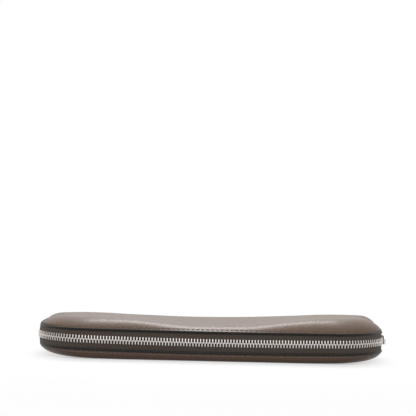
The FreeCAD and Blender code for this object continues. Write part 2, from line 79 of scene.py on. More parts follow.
class PenCaseForm(bpy.types.PropertyGroup):
    """Outline and heights of the closed case."""

    half_length: length("Half length", "Half of the case's length", COVER_HIGH.x)
    half_depth: length("Half depth", "Half of the case's depth", COVER_HIGH.y)
    front_corner: length("Front corner", "Radius of the two corners beside the zip", 32.0 * MM)
    back_corner: length("Back corner", "Radius of the two corners beside the spine", 12.0 * MM)
    bow_rise: length("Bow", "How far both ends are lifted by the bow of the case", 1.5 * MM)
    base_rim: length("Base rim", "Height of the base's rim at the middle", 5.4 * MM)
    lid_rim: length("Lid rim", "Height of the lid's rim at the middle", 16.8 * MM)
    lid_rim_droop: length("Rim droop", "How far the lid's rim hangs at the ends", 1.2 * MM)
    lid_front_rise: length("Front rise", "Crown over the rim at the middle of the front", 3.5 * MM)
    lid_back_rise: length("Back rise", "Crown over the rim at the middle of the back", 6.0 * MM)
    lid_left_rise: length("Left rise", "Crown over the rim towards the left end", 8.3 * MM)
    lid_right_rise: length("Right rise", "Crown over the rim towards the right end", 11.0 * MM)
    end_fall: length("End fall", "How far the crown falls again at both ends", 4.0 * MM)
    fall_start: length("Fall start", "Where the crown starts to fall", 60.0 * MM)
    lid_roll: length("Lid roll", "Width of the roll along the lid's long sides", 8.0 * MM)
    lid_end_roll: length("Lid end roll", "Width of the roll at the lid's ends", 15.5 * MM)
    base_roll: length("Base roll", "Width of the roll along the base's long sides", 3.4 * MM)
    base_end_roll: length("Base end roll", "Width of the roll at the base's ends", 9.0 * MM)
    foot_half: length("Half foot", "Half of the flat stretch that the base rests on", 50.0 * MM)
    foot_lift: length("Foot lift", "How far the underside lifts at the ends", 1.6 * MM)
    end_trim: length("End trim", "How far the covers' ends stop short of the zip", 0.7 * MM)
    leather: length("Leather", "Thickness of the cover leather", 1.2 * MM)


class PenCaseSeam(bpy.types.PropertyGroup):
    """Stitching of the covers."""

    height: length("Seam height", "Distance of the stitches from the rim", 1.95 * MM)
    pitch: length("Stitch pitch", "Distance from one stitch to the next", 2.9 * MM)
    stitch: length("Stitch", "Length of one stitch", 2.25 * MM)
    thread: length("Thread", "Radius of the thread", 0.17 * MM)
    groove: length("Groove", "Depth of the groove under the stitches", 0.14 * MM)
    slant: angle("Slant", "How far each stitch leans from the seam", math.radians(7.0))


class PenCaseZip(bpy.types.PropertyGroup):
    """Sizes of the zip's tape and teeth."""

    inset: length("Chain inset", "How far the chain's middle is inside the outline", 1.55 * MM)
    chain: length("Chain height", "Height of the chain at the middle of the case", 11.1 * MM)
    bulge: length("Bulge", "How far the tape bulges out between the rims", 0.95 * MM)
    tape: length("Tape", "Thickness of the tape", 0.5 * MM)
    seam: length("Tape seam", "How far the tape reaches behind the rim", 1.3 * MM)
    tape_edge: length("Tape edge", "Distance of the tape's edge from the chain's middle", 1.01 * MM)
    tail_gap: length("Tail gap", "Gap between the tape's two tails", 0.5 * MM)
    pitch: length("Tooth pitch", "Distance from one tooth to the next in a row", 1.8 * MM)
    thick: length("Tooth thickness", "Size of a tooth along the chain", 0.66 * MM)
    depth: length("Tooth depth", "Size of a tooth through the tape", 2.2 * MM)
    head: length("Tooth head", "Depth of a tooth at its tip", 2.2 * MM)
    reach: length("Tooth reach", "How far a tooth reaches past the chain's middle", 0.4 * MM)
    width: length("Chain width", "Width of the closed chain", 4.5 * MM)
    seat: length("Tooth seat", "Where a tooth's two legs part round the tape", 0.95 * MM)
    slot: length("Tooth slot", "Half of the gap between a tooth's legs", 0.31 * MM)
    teeth_reach: length("Teeth reach", "The last tooth, from the front's middle", 143.83 * MM)
    chain_reach: length("Chain reach", "The chain's end, from the front's middle", 145.83 * MM)
    closing_start: length("Closing start", "Where the slider's straight stretch starts", 121.83 * MM)
    parting: length("Parting", "Where the slider parts the chain", 139.53 * MM)
    parting_rise: length("Parting rise", "How far each parted row stands off", 1.35 * MM)
    stop: length("Stop", "Length of an end stop", 1.6 * MM)


class PenCaseLoops(bpy.types.PropertyGroup):
    """Sizes of the pen loops."""

    count: count("Loops", "Number of pen loops", 3)
    pitch: length("Loop pitch", "Distance from one loop to the next", 18.0 * MM)
    width: length("Loop width", "Width of a loop along the pen", 20.0 * MM)
    inner: length("Loop inside", "Inner width of a loop", 13.0 * MM)
    leather: length("Loop leather", "Thickness of the loop leather", 0.8 * MM)
    foot: length("Loop foot", "How far a loop's sewn foot turns out", 1.2 * MM)


class PenCaseFinish(bpy.types.PropertyGroup):
    """Colours of the finishes."""

    leather: colour("Leather", "Taupe cover leather", (0.153, 0.095, 0.065))
    leather_dark: colour("Leather creases", "Hollows of the leather grain", (0.078, 0.047, 0.030))
    edge_paint: colour("Edge paint", "Paint on the cut edges", (0.014, 0.015, 0.012))
    thread: colour("Thread", "Sewing thread", (0.290, 0.220, 0.182))
    tape: colour("Tape", "Woven zip tape", (0.101, 0.072, 0.051))
    tape_dark: colour("Tape shade", "Hollows of the tape's weave", (0.042, 0.031, 0.024))
    nickel: colour("Nickel", "Zip metal", (0.80, 0.74, 0.70))
    lining: colour("Lining", "Twill lining", (0.270, 0.205, 0.150))
    lining_dark: colour("Lining shade", "Hollows of the twill", (0.150, 0.108, 0.076))
    loop: colour("Loop leather", "Leather of the pen loops", (0.090, 0.058, 0.042))
    foam: colour("Foam", "Padding foam", (0.55, 0.53, 0.48))
    board: colour("Board", "Stiffening board", (0.30, 0.26, 0.21))
    floor: colour("Floor", "Studio floor", (0.450, 0.450, 0.450))


class PenCaseStage(bpy.types.PropertyGroup):
    """Camera and light."""

    camera_x: length("Camera X", "Camera place along the case", -3.75 * MM)
    camera_y: length("Camera Y", "Camera place in front of the case", -805.0 * MM)
    camera_z: length("Camera Z", "Camera height", 79.2 * MM)
    pitch: angle("Pitch", "How far the camera looks up", math.radians(0.89))
    roll: angle("Roll", "How far the camera leans", math.radians(1.32))
    lens: number("Lens", "Focal length in millimetres on a 36 mm sensor", 112.3)
    sky: number("Sky", "Strength of the studio's all-round light", 0.46)
    key: number("Key", "Power of the overhead light in watts", 2.7)
    fill: number("Fill", "Power of the front light in watts", 0.4)
    back: number("Back", "Power of the back light in watts", 3.3)


PREFIX = "pen_case_"
GROUPS = {
    "form": PenCaseForm,
    "seam": PenCaseSeam,
    "zip": PenCaseZip,
    "loops": PenCaseLoops,
    "finish": PenCaseFinish,
    "stage": PenCaseStage,
}


def settings(name):
    """One group of the scene's settings."""
    return getattr(bpy.context.scene, PREFIX + name)


def math_node(operation, reflected=False):
    """A method of Value that adds one Math node, with its two values swapped if reflected."""

    def method(self, other=0.0):
        first, second = (other, self) if reflected else (self, other)
        return self.tree.add("ShaderNodeMath", {"operation": operation}, {0: first, 1: second})

    return method


def both_ways(operation):
    """An operator's method and its reflected form."""
    return math_node(operation), math_node(operation, True)


class Value:
    """A number or colour on a surface. Its operators add Math nodes to the node tree."""

    def __init__(self, tree, socket):
        self.tree = tree
        self.socket = socket

    __add__, __radd__ = both_ways("ADD")
    __sub__, __rsub__ = both_ways("SUBTRACT")
    __mul__, __rmul__ = both_ways("MULTIPLY")
    __truediv__, __rtruediv__ = both_ways("DIVIDE")
    __pow__, __rpow__ = both_ways("POWER")
    __mod__, __rmod__ = both_ways("FLOORED_MODULO")
    __abs__ = math_node("ABSOLUTE")
    highest = math_node("MAXIMUM")
    lowest = math_node("MINIMUM")

    def ridges(self):
        """A zigzag from 1 to 0 and back, once for each whole step of the value."""
        return abs(self % 1.0 - 0.5) * 2.0


PATTERN = "along"
# How many layers of detail a noise has
COARSE, MEDIUM, FINE, FIBROUS = 2.0, 3.0, 4.0, 5.0
# Numbers of the sockets used on a Texture Coordinate node and on a Mix node for colours
OBJECT_PLACE = 3
MIX_FACTOR, MIX_FIRST, MIX_SECOND, MIX_RESULT = 0, 6, 7, 2
PLAIN_RAYS = ("Is Camera Ray", "Is Glossy Ray", "Is Transmission Ray")


class Nodes:
    """A node tree. One method adds any node, and the others call it for what is often needed."""

    def __init__(self, tree):
        self.tree = tree
        tree.nodes.clear()

    def add(self, kind, options=None, sockets=None, output=0):
        """A new node, with its options and sockets set or linked. Gives one of its outputs."""
        node = self.tree.nodes.new(kind)
        for key, value in (options or {}).items():
            if key == "stops":
                set_stops(node.color_ramp, value)
            else:
                setattr(node, key, value)
        for key, value in (sockets or {}).items():
            if isinstance(value, Value):
                self.tree.links.new(value.socket, node.inputs[key])
            else:
                node.inputs[key].default_value = value
        return Value(self, node.outputs[output]) if node.outputs else None

    def place(self):
        """Places in the piece's own coordinates."""
        return self.add("ShaderNodeTexCoord", output=OBJECT_PLACE)

    def axes(self, place):
        """The three parts of a place."""
        node = self.add("ShaderNodeSeparateXYZ", None, {"Vector": place})
        return [Value(self, socket) for socket in node.socket.node.outputs]

    def pattern(self):
        """Places along the piece and across it, or round it, in its pattern's coordinates."""
        return self.axes(self.add("ShaderNodeUVMap", {"uv_map": PATTERN}))[:2]

    def noise(self, place, scale, detail=MEDIUM):
        """Soft random spots, from 0 to 1."""
        return self.add(
            "ShaderNodeTexNoise", None, {"Vector": place, "Scale": scale, "Detail": detail}
        )

    def cells(self, place, scale, feature):
        """Distances inside a pattern of random cells."""
        return self.add(
            "ShaderNodeTexVoronoi", {"feature": feature}, {"Vector": place, "Scale": scale}
        )

    def ramp(self, value, stops):
        """A grey level that follows a value through the stops."""
        return self.add("ShaderNodeValToRGB", {"stops": stops}, {"Fac": value})

    def mix(self, factor, first, second):
        """A colour between two colours."""
        sockets = {MIX_FACTOR: factor, MIX_FIRST: opaque(first), MIX_SECOND: opaque(second)}
        return self.add("ShaderNodeMix", {"data_type": "RGBA"}, sockets, MIX_RESULT)

    def surface(self, base, roughness, height, relief, more=None, invert=False):
        """A finish with a bumpy surface. Its relief is the bump's strength and depth."""
        strength, depth = relief
        bumps = {"Strength": strength, "Distance": depth, "Height": height}
        bump = self.add("ShaderNodeBump", {"invert": invert}, bumps)
        sockets = {"Base Color": base, "Roughness": roughness, "Normal": bump, **(more or {})}
        return self.add("ShaderNodeBsdfPrincipled", None, sockets)

    def glow(self, kind, strength):
        """White light of its own, from a surface or from the world."""
        return self.add(kind, None, {"Color": WHITE, "Strength": strength})

    def blend(self, factor, first, second):
        """A shader between two shaders."""
        return self.add("ShaderNodeMixShader", None, {0: factor, 1: first, 2: second})

    def plainly_seen(self):
        """1 for rays that show the plain background: from the eye, off a shine or through glass."""
        path = self.add("ShaderNodeLightPath").socket.node
        camera, glossy, through = [Value(self, path.outputs[name]) for name in PLAIN_RAYS]
        return camera.highest(glossy).highest(through)


def set_stops(ramp, stops):
    """Sets a colour ramp's stops, given as pairs of place and grey level."""
    while len(ramp.elements) < len(stops):
        ramp.elements.new(1.0)
    for element, (place, grey) in zip(ramp.elements, stops):
        element.position = place
        element.color = (grey, grey, grey, 1.0)


def opaque(rgb):
    """A colour socket's value."""
    return (*rgb, 1.0)


WHITE = opaque((1.0, 1.0, 1.0))


def shaded(rgb, share):
    """A colour times a share."""
    return [part * share for part in rgb]


FINISHES = {}


def finish_of(name):
    """The material of that name, made on first use."""
    if name not in FINISHES:
        material = bpy.data.materials.new(PREFIX + name)
        material.use_nodes = True
        nodes = Nodes(material.node_tree)
        surface = FINISH_MAKERS[name](nodes, settings("finish"))
        nodes.add("ShaderNodeOutputMaterial", None, {"Surface": surface})
        FINISHES[name] = material
    return FINISHES[name]


PEBBLE_SCALE = 1150.0
PEBBLE_STOPS = [(0.0, 0.0), (0.22, 0.8), (1.0, 1.0)]
CREASE_SCALE = 420.0
PATCH_SCALE = 26.0
GRAIN_RELIEF = (0.45, 0.11 * MM)
PEBBLE_HEIGHT, CREASE_HEIGHT = 0.75, 0.6
PEBBLE_SHADE, PATCH_SHADE = 0.45, 0.55
PATCH_DULLNESS, PEBBLE_POLISH = 0.14, 0.06
LEATHER_ROUGHNESS, LOOP_ROUGHNESS = 0.46, 0.52
LEATHER_SHINE = {"Specular IOR Level": 0.22, "Coat Weight": 0.16, "Coat Roughness": 0.25}
LOOP_SHADE = 0.55


def grained_leather(nodes, light, dark, roughness):
    """Fine pebbled leather with slightly uneven colour and a dull shine on the pebbles."""
    place = nodes.place()
    creases = nodes.noise(place, CREASE_SCALE, COARSE)
    pebbles = nodes.ramp(nodes.cells(place, PEBBLE_SCALE, "DISTANCE_TO_EDGE"), PEBBLE_STOPS)
    patches = nodes.noise(place, PATCH_SCALE, FINE)
    base = nodes.mix(pebbles * PEBBLE_SHADE + patches * PATCH_SHADE, dark, light)
    height = pebbles * PEBBLE_HEIGHT + creases * CREASE_HEIGHT
    rough = roughness + PATCH_DULLNESS * (patches - 0.5) - PEBBLE_POLISH * (pebbles - 0.5)
    return nodes.surface(base, rough, height, GRAIN_RELIEF, LEATHER_SHINE)


def leather_finish(nodes, finish):
    """Leather of the covers and the spine."""
    return grained_leather(nodes, finish.leather, finish.leather_dark, LEATHER_ROUGHNESS)


def loop_finish(nodes, finish):
    """Darker leather of the pen loops and their strip."""
    return grained_leather(nodes, finish.loop, shaded(finish.loop, LOOP_SHADE), LOOP_ROUGHNESS)


PAINT_LUMP_SCALE, PAINT_WEAR_SCALE = 700.0, 120.0
PAINT_WEAR_STOPS = [(0.55, 0.0), (0.8, 1.0)]
PAINT_RUBBED = 2.6
PAINT_RELIEF = (0.25, 0.05 * MM)
PAINT_ROUGHNESS, PAINT_WEAR_ROUGHNESS = 0.30, 0.2
PAINT_SHINE = {"Specular IOR Level": 0.2}


def edge_finish(nodes, finish):
    """Thick edge paint with a soft gloss and small unevenness."""
    place = nodes.place()
    wear = nodes.noise(place, PAINT_WEAR_SCALE, COARSE)
    rubbed = shaded(finish.edge_paint, PAINT_RUBBED)
    base = nodes.mix(nodes.ramp(wear, PAINT_WEAR_STOPS), finish.edge_paint, rubbed)
    lumps = nodes.noise(place, PAINT_LUMP_SCALE)
    roughness = PAINT_ROUGHNESS + PAINT_WEAR_ROUGHNESS * wear
    return nodes.surface(base, roughness, lumps, PAINT_RELIEF, PAINT_SHINE)


THREAD_TWISTS = 3.0
THREAD_FIBRE_SCALE = 2600.0
THREAD_SHADE = 0.45
THREAD_STRAND_SHADE, THREAD_FIBRE_SHADE = 0.7, 0.3
THREAD_RELIEF = (0.7, 0.12 * MM)
THREAD_ROUGHNESS, THREAD_FIBRE_ROUGHNESS = 0.55, 0.15
THREAD_SHEEN = {"Sheen Weight": 0.2}


def thread_finish(nodes, finish):
    """Twisted sewing thread. The pattern runs along and round each stitch."""
    along, around = nodes.pattern()
    strand = (along * THREAD_TWISTS + around).ridges()
    fibres = nodes.noise(nodes.place(), THREAD_FIBRE_SCALE, COARSE)
    fuzz = fibres * THREAD_FIBRE_SHADE
    dark = shaded(finish.thread, THREAD_SHADE)
    base = nodes.mix(strand * THREAD_STRAND_SHADE + fuzz, finish.thread, dark)
    roughness = THREAD_ROUGHNESS + THREAD_FIBRE_ROUGHNESS * fibres
    return nodes.surface(base, roughness, strand + fuzz, THREAD_RELIEF, THREAD_SHEEN, invert=True)


TAPE_RIB = 0.55 * MM
TAPE_BAND = 1.3 * MM
TAPE_WEFT = 0.45 * TAPE_RIB
TAPE_FUZZ_SCALE = 900.0
TAPE_RIB_HEIGHT, TAPE_WEFT_HEIGHT, TAPE_FUZZ_HEIGHT = 0.7, 0.3, 0.35
TAPE_TONE = 0.75
TAPE_RELIEF = (0.6, 0.12 * MM)
TAPE_ROUGHNESS, TAPE_FUZZ_ROUGHNESS = 0.75, 0.15
TAPE_SHEEN = {"Sheen Weight": 0.1}


def tape_finish(nodes, finish):
    """Herringbone zip tape: ribs that turn from band to band across the tape."""
    along, across = nodes.pattern()
    turned = abs((across / TAPE_BAND) % 2.0 - 1.0) * TAPE_BAND
    rib = ((along + turned) / TAPE_RIB).ridges()
    weft = (across / TAPE_WEFT).ridges()
    fuzz = nodes.noise(nodes.place(), TAPE_FUZZ_SCALE)
    height = rib * TAPE_RIB_HEIGHT + weft * TAPE_WEFT_HEIGHT + fuzz * TAPE_FUZZ_HEIGHT
    base = nodes.mix(height * TAPE_TONE, finish.tape_dark, finish.tape)
    roughness = TAPE_ROUGHNESS + TAPE_FUZZ_ROUGHNESS * fuzz
    return nodes.surface(base, roughness, height, TAPE_RELIEF, TAPE_SHEEN)


TWILL_PITCH = 0.7 * MM
TWILL_CROSS = 0.5 * TWILL_PITCH
TWILL_SLANT = 0.9
TWILL_FUZZ_SCALE, TWILL_TONE_SCALE = 1500.0, 30.0
TWILL_RIB_HEIGHT, TWILL_CROSS_HEIGHT, TWILL_FUZZ_HEIGHT = 0.7, 0.25, 0.3
TWILL_HEIGHT_TONE, TWILL_PATCH_TONE = 0.6, 0.35
TWILL_RELIEF = (0.5, 0.12 * MM)
TWILL_ROUGHNESS, TWILL_FUZZ_ROUGHNESS = 0.8, 0.12
TWILL_SHEEN = {"Sheen Weight": 0.35}


def lining_finish(nodes, finish):
    """Cotton twill: slanting ribs crossed by finer threads."""
    place = nodes.place()
    x, y, z = nodes.axes(place)
    rib = ((x + y * TWILL_SLANT + z) / TWILL_PITCH).ridges()
    cross = ((x - y) / TWILL_CROSS).ridges()
    fuzz = nodes.noise(place, TWILL_FUZZ_SCALE)
    patches = nodes.noise(place, TWILL_TONE_SCALE)
    height = rib * TWILL_RIB_HEIGHT + cross * TWILL_CROSS_HEIGHT + fuzz * TWILL_FUZZ_HEIGHT
    tone = height * TWILL_HEIGHT_TONE + patches * TWILL_PATCH_TONE
    base = nodes.mix(tone, finish.lining_dark, finish.lining)
    roughness = TWILL_ROUGHNESS + TWILL_FUZZ_ROUGHNESS * fuzz
    return nodes.surface(base, roughness, height, TWILL_RELIEF, TWILL_SHEEN)


NICKEL_POLISH_SCALE, NICKEL_SCRATCH_SCALE = 520.0, 3200.0
NICKEL_DULL = 0.72
NICKEL_RELIEF = (0.12, 0.04 * MM)
NICKEL_ROUGHNESS, NICKEL_POLISH_ROUGHNESS = 0.2, 0.22


def nickel_finish(nodes, finish):
    """Tumbled nickel: slightly uneven polish with fine scratches and darker dull spots."""
    place = nodes.place()
    polish = nodes.noise(place, NICKEL_POLISH_SCALE)
    base = nodes.mix(polish, shaded(finish.nickel, NICKEL_DULL), finish.nickel)
    scratches = nodes.noise(place, NICKEL_SCRATCH_SCALE, FINE)
    roughness = NICKEL_ROUGHNESS + NICKEL_POLISH_ROUGHNESS * polish
    return nodes.surface(base, roughness, scratches, NICKEL_RELIEF, {"Metallic": 1.0})


FOAM_PORE_SCALE = 1400.0
FOAM_SHADE = 0.5
FOAM_RELIEF = (0.6, 0.2 * MM)
FOAM_ROUGHNESS = 0.95


def foam_finish(nodes, finish):
    """Open foam with small pores."""
    pores = nodes.cells(nodes.place(), FOAM_PORE_SCALE, "F1")
    base = nodes.mix(pores, shaded(finish.foam, FOAM_SHADE), finish.foam)
    return nodes.surface(base, FOAM_ROUGHNESS, pores, FOAM_RELIEF)


BOARD_FIBRE_SCALE = 900.0
BOARD_SHADE = 0.6
BOARD_RELIEF = (0.3, 0.05 * MM)
BOARD_ROUGHNESS, BOARD_FIBRE_ROUGHNESS = 0.8, 0.1


def board_finish(nodes, finish):
    """Grey board with pressed fibres."""
    fibres = nodes.noise(nodes.place(), BOARD_FIBRE_SCALE, FIBROUS)
    base = nodes.mix(fibres, shaded(finish.board, BOARD_SHADE), finish.board)
    roughness = BOARD_ROUGHNESS + BOARD_FIBRE_ROUGHNESS * fibres
    return nodes.surface(base, roughness, fibres, BOARD_RELIEF)


FLOOR_GRAIN_SCALE = 40.0
FLOOR_DULL = 0.985
FLOOR_GLOW = 0.46
FLOOR_NEAR, FLOOR_FAR = 0.16, 0.34
# Distances along the case over which the floor turns plain white: painted light over the case's
# shadow at its ends
PAINTED_LIGHT_NEAR, PAINTED_LIGHT_FAR = 0.080, 0.118
FLOOR_BOUNCE = 0.38


def floor_finish(nodes, finish):
    """Pale floor with a glow of its own, which lightens the case's shadow. It keeps the shadow near
    the middle of the case and fades to plain white away from it and past its ends, which is painted
    light over the case's shadow there.
    """
    place = nodes.place()
    grain = nodes.noise(place, FLOOR_GRAIN_SCALE, COARSE)
    base = nodes.mix(grain, shaded(finish.floor, FLOOR_DULL), finish.floor)
    matt = nodes.add("ShaderNodeBsdfDiffuse", None, {"Color": base})
    glow = nodes.glow("ShaderNodeEmission", FLOOR_GLOW)
    lit = nodes.add("ShaderNodeAddShader", None, {0: matt, 1: glow})
    plain = nodes.glow("ShaderNodeEmission", 1.0)
    x, y = nodes.axes(place)[:2]
    away = ((x * x + y * y) ** 0.5 - FLOOR_NEAR) / (FLOOR_FAR - FLOOR_NEAR)
    # Past the case's ends the floor turns plain white, painted light over the case's shadow there
    away = away.highest((abs(x) - PAINTED_LIGHT_NEAR) / (PAINTED_LIGHT_FAR - PAINTED_LIGHT_NEAR))
    seen = nodes.blend(away.highest(0.0).lowest(1.0), lit, plain)
    bounce = nodes.add("ShaderNodeBsdfDiffuse", None, {"Color": opaque([FLOOR_BOUNCE] * 3)})
    return nodes.blend(nodes.plainly_seen(), bounce, seen)


FINISH_MAKERS = {
    "cover_leather": leather_finish,
    "loop_leather": loop_finish,
    "edge_paint": edge_finish,
    "thread": thread_finish,
    "zip_tape": tape_finish,
    "lining": lining_finish,
    "nickel": nickel_finish,
    "foam": foam_finish,
    "board": board_finish,
    "floor": floor_finish,
}


# Outline of the case as stations, shared by everything that runs round it

LONG_STEPS = 72
FRONT_CORNER_STEPS = 26
END_STEPS = 12
BACK_CORNER_STEPS = 14
# Directions in degrees, seen from above: out of the front, and from one side to the next
FRONT_TURN = 270
QUARTER = 90


class Places:
    """Places round the outline, each with an anchor inside, an outward normal and their distance.

    The place at an inset is the anchor plus the normal times the distance less the inset.
    """

    def __init__(self, anchors, normals, reach):
        self.anchors = anchors
        self.normals = normals
        self.reach = reach

    def plan(self, inset):
        """Places seen from above at an inset, which may differ from place to place."""
        return self.anchors + self.normals * (self.reach - inset)[:, None]

    def drawn_in(self, inset, share):
        """Places between an inset and the anchors."""
        return self.anchors + self.normals * ((self.reach - inset) * (1 - share))[:, None]


class Stations(Places):
    """Places all round the case, the same for every inset, from the left end of the straight front.

    The border gives each anchor's place in the grid that fills the space between the anchors.
    """

    def __init__(self, form, density=1, trim=0.0):
        half_length = form.half_length - trim
        front, back = form.front_corner, form.back_corner
        front_x, front_y = half_length - front, front - form.half_depth
        back_x, back_y = half_length - back, form.half_depth - back
        all_steps = (LONG_STEPS, FRONT_CORNER_STEPS, END_STEPS, BACK_CORNER_STEPS)
        self.steps = [steps * density for steps in all_steps]
        long_steps, front_steps, end_steps, back_steps = self.steps
        corners = (
            ((-front_x, front_y), front, (0, 0)),
            ((front_x, front_y), front, (long_steps, 0)),
            ((back_x, back_y), back, (long_steps, end_steps)),
            ((-back_x, back_y), back, (0, end_steps)),
        )
        straights = (long_steps, end_steps, long_steps, end_steps)
        rounds = (front_steps, back_steps, back_steps, front_steps)
        anchors, turns, reach, border = [], [], [], []
        for side, start in enumerate(corners):
            end = corners[(side + 1) % len(corners)]
            for corner, turned, steps in ((start, 0, straights[side]), (end, QUARTER, rounds[side])):
                share = np.arange(steps) / steps
                turns.append(np.radians(FRONT_TURN + QUARTER * side + turned * share))
                for values, first, last in zip((anchors, reach, border), corner, end):
                    values.append(np.outer(1 - share, first) + np.outer(share, last))
        turn = np.concatenate(turns)
        normals = np.stack([np.cos(turn), np.sin(turn)], axis=1)
        super().__init__(np.concatenate(anchors), normals, np.concatenate(reach)[:, 0])
        self.border = np.rint(np.concatenate(border)).astype(int)

    def fill(self):
        """A grid of places over the space between the anchors, seen from above."""
        long_steps, end_steps = self.steps[0], self.steps[2]
        back_start = sum(self.steps)
        front = self.anchors[: long_steps + 1]
        back = self.anchors[back_start : back_start + long_steps + 1][::-1]
        share = (np.arange(end_steps + 1) / end_steps)[None, :, None]
        return front[:, None, :] * (1 - share) + back[:, None, :] * share


def distances(line):
    """How far each point of a line is from its start, along it."""
    steps = np.linalg.norm(np.diff(line, axis=0), axis=1)
    return np.concatenate([[0.0], np.cumsum(steps)])


def between_points(at, distance, values):
    """Values at some distances along a line, from the values at its points."""
    return np.stack([np.interp(at, distance, column) for column in values.T], axis=-1)


class Route:
    """A line round the case at one inset, measured from the middle of the front."""

    DENSITY = 6

    def __init__(self, form, inset, trim=0.0):
        stations = Stations(form, self.DENSITY, trim)
        back_middle = sum(stations.steps) + stations.steps[0] // 2
        order = np.roll(np.arange(len(stations.reach)), -back_middle)
        order = np.append(order, order[0])
        self.values = np.column_stack([stations.anchors, stations.normals, stations.reach])[order]
        distance = distances(stations.plan(inset)[order])
        self.half = distance[-1] / 2
        self.distance = distance - self.half

    def at(self, distance):
        """Places at some distances from the middle of the front."""
        x, y, u, v, reach = between_points(distance, self.distance, self.values).T
        size = np.hypot(u, v)
        return Places(np.stack([x, y], 1), np.stack([u / size, v / size], 1), reach)


def smooth_step(value, start, end):
    """0 before the start, 1 after the end, with a smooth rise between them."""
    share = np.clip((value - start) / (end - start), 0.0, 1.0)
    return share * share * (3 - 2 * share)


def bow(form, x):
    """How far the smile-shaped bow lifts the case at x."""
    return form.bow_rise * (x / form.half_length) ** 2


def base_rim(form, x):
    """The base's rim follows the bow."""
    return form.base_rim + bow(form, x)


DROOP_POWER = 3


def lid_rim(form, x):
    """The lid's rim follows the bow and hangs a little towards the ends."""
    droop = form.lid_rim_droop * np.abs(x / form.half_length) ** DROOP_POWER
    return form.lid_rim + bow(form, x) - droop


def along_case(form, left, middle, right, x):
    """A height along the case from its heights at the left end, the middle and the right end."""
    share = x / form.half_length
    return middle + (left + right - 2 * middle) / 2 * share**2 + (right - left) / 2 * share


DIP_MIDDLE = 5.0 * MM
DIP_ENDS = (12.0 * MM, 60.0 * MM)
WAVE = 0.10 * MM
WAVE_ALONG, WAVE_ACROSS = 47.0, 95.0
WAVE_START_ALONG, WAVE_START_ACROSS = 1.1, 0.4


def lid_crown(form, x, y):
    """The lid's top: dipped in the middle, higher at the ends and the back, slightly wavy."""
    left = form.lid_rim + form.bow_rise + form.lid_left_rise
    right = form.lid_rim + form.bow_rise + form.lid_right_rise
    back = along_case(form, left, form.lid_rim + form.lid_back_rise, right, x)
    dipped = 1 - smooth_step(np.abs(x - DIP_MIDDLE), *DIP_ENDS)
    dip = (form.lid_back_rise - form.lid_front_rise) * dipped
    share = (y + form.half_depth) / (2 * form.half_depth)
    top = back - dip * (1 - share)
    past = np.clip((np.abs(x) - form.fall_start) / (form.half_length - form.fall_start), 0.0, 1.0)
    along = np.sin(WAVE_ALONG * x + WAVE_START_ALONG)
    across = np.sin(WAVE_ACROSS * y + WAVE_START_ACROSS)
    return top - form.end_fall * past**2 + WAVE * along * across


def foot(form, x, y):
    """The base's underside: flat in the middle, lifted at the ends, the same at every y."""
    span = form.half_length - form.foot_half
    return form.foot_lift * np.clip((np.abs(x) - form.foot_half) / span, 0.0, 1.0) ** 2


# Mesh building. Angles of sharp edges are in degrees.

SHARP_SOFT, SHARP_TEETH, SHARP_METAL = 50.0, 40.0, 35.0


def piece(name, points, faces, finishes, face_finish=None, smooth=True):
    """A new mesh piece with its finishes, linked to the scene."""
    mesh = bpy.data.meshes.new(name)
    mesh.from_pydata([tuple(point) for point in points], [], faces)
    mesh.validate()
    for finish in finishes:
        mesh.materials.append(finish_of(finish))
    if face_finish is not None:
        mesh.polygons.foreach_set("material_index", face_finish)
    mesh.polygons.foreach_set("use_smooth", [smooth] * len(mesh.polygons))
    made = bpy.data.objects.new(name, mesh)
    bpy.context.scene.collection.objects.link(made)
    return made


def turn_outwards(made):
    """Makes every face of a closed piece look outwards."""
    work = bmesh.new()
    work.from_mesh(made.data)
    bmesh.ops.recalc_face_normals(work, faces=work.faces[:])
    work.to_mesh(made.data)
    work.free()
    return made


def sharpen(made, degrees):
    """Keeps edges sharp where the surface turns by more than an angle."""
    made.data.set_sharp_from_angle(angle=math.radians(degrees))
    return made


def seated(made, body, slot, *nodes):
    """Puts a piece on its body and hides the nodes that it replaces. Its slot is not used."""
    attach(made, body)
    if nodes:
        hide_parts(*nodes)


def with_height(plan, height):
    """Places seen from above with their heights."""
    return np.column_stack([plan, height])


def raised(plan, height_at):
    """Places seen from above with the heights that a function gives at their x and y."""
    flat = plan.reshape(-1, 2)
    return with_height(flat, height_at(flat[:, 0], flat[:, 1])).reshape(*plan.shape[:-1], 3)


def inner_shares(steps):
    """Even shares of a way, without its start and its end."""
    return [step / steps for step in range(1, steps)]


def panel(name, stations, inner_fill, rings, outer_fill, finishes, ring_finish=None):
    """A closed panel: a filled inner side, rings round its edge, and a filled outer side."""
    total = len(stations.reach)
    long_count, cross_count = outer_fill.shape[:2]
    fill_size = long_count * cross_count
    points = np.concatenate([inner_fill.reshape(-1, 3), *rings, outer_fill.reshape(-1, 3)])
    outer_start = fill_size + total * len(rings)
    border = [int(i * cross_count + j) for i, j in stations.border]
    loops = [border]
    loops += [[fill_size + total * k + i for i in range(total)] for k in range(len(rings))]
    loops.append([outer_start + index for index in border])
    faces, face_finish = [], []
    for start, turned in ((0, True), (outer_start, False)):
        for i in range(long_count - 1):
            for j in range(cross_count - 1):
                corner = start + i * cross_count + j
                face = [corner, corner + cross_count, corner + cross_count + 1, corner + 1]
                faces.append(face[::-1] if turned else face)
                face_finish.append(0)
    for k in range(len(loops) - 1):
        for i in range(total):
            j = (i + 1) % total
            face = [loops[k][i], loops[k][j], loops[k + 1][j], loops[k + 1][i]]
            face = list(dict.fromkeys(face))
            if len(face) > 2:
                faces.append(face)
                face_finish.append(ring_finish[k] if ring_finish else 0)
    return turn_outwards(piece(name, points, faces, finishes, face_finish))


def tube_faces(rows, loop):
    """Faces of a closed tube through rows of points, with both ends covered."""
    faces = []
    for i in range(rows - 1):
        for j in range(loop):
            k = (j + 1) % loop
            faces.append([i * loop + j, i * loop + k, (i + 1) * loop + k, (i + 1) * loop + j])
    faces.append(list(range(loop))[::-1])
    faces.append([(rows - 1) * loop + j for j in range(loop)])
    return faces


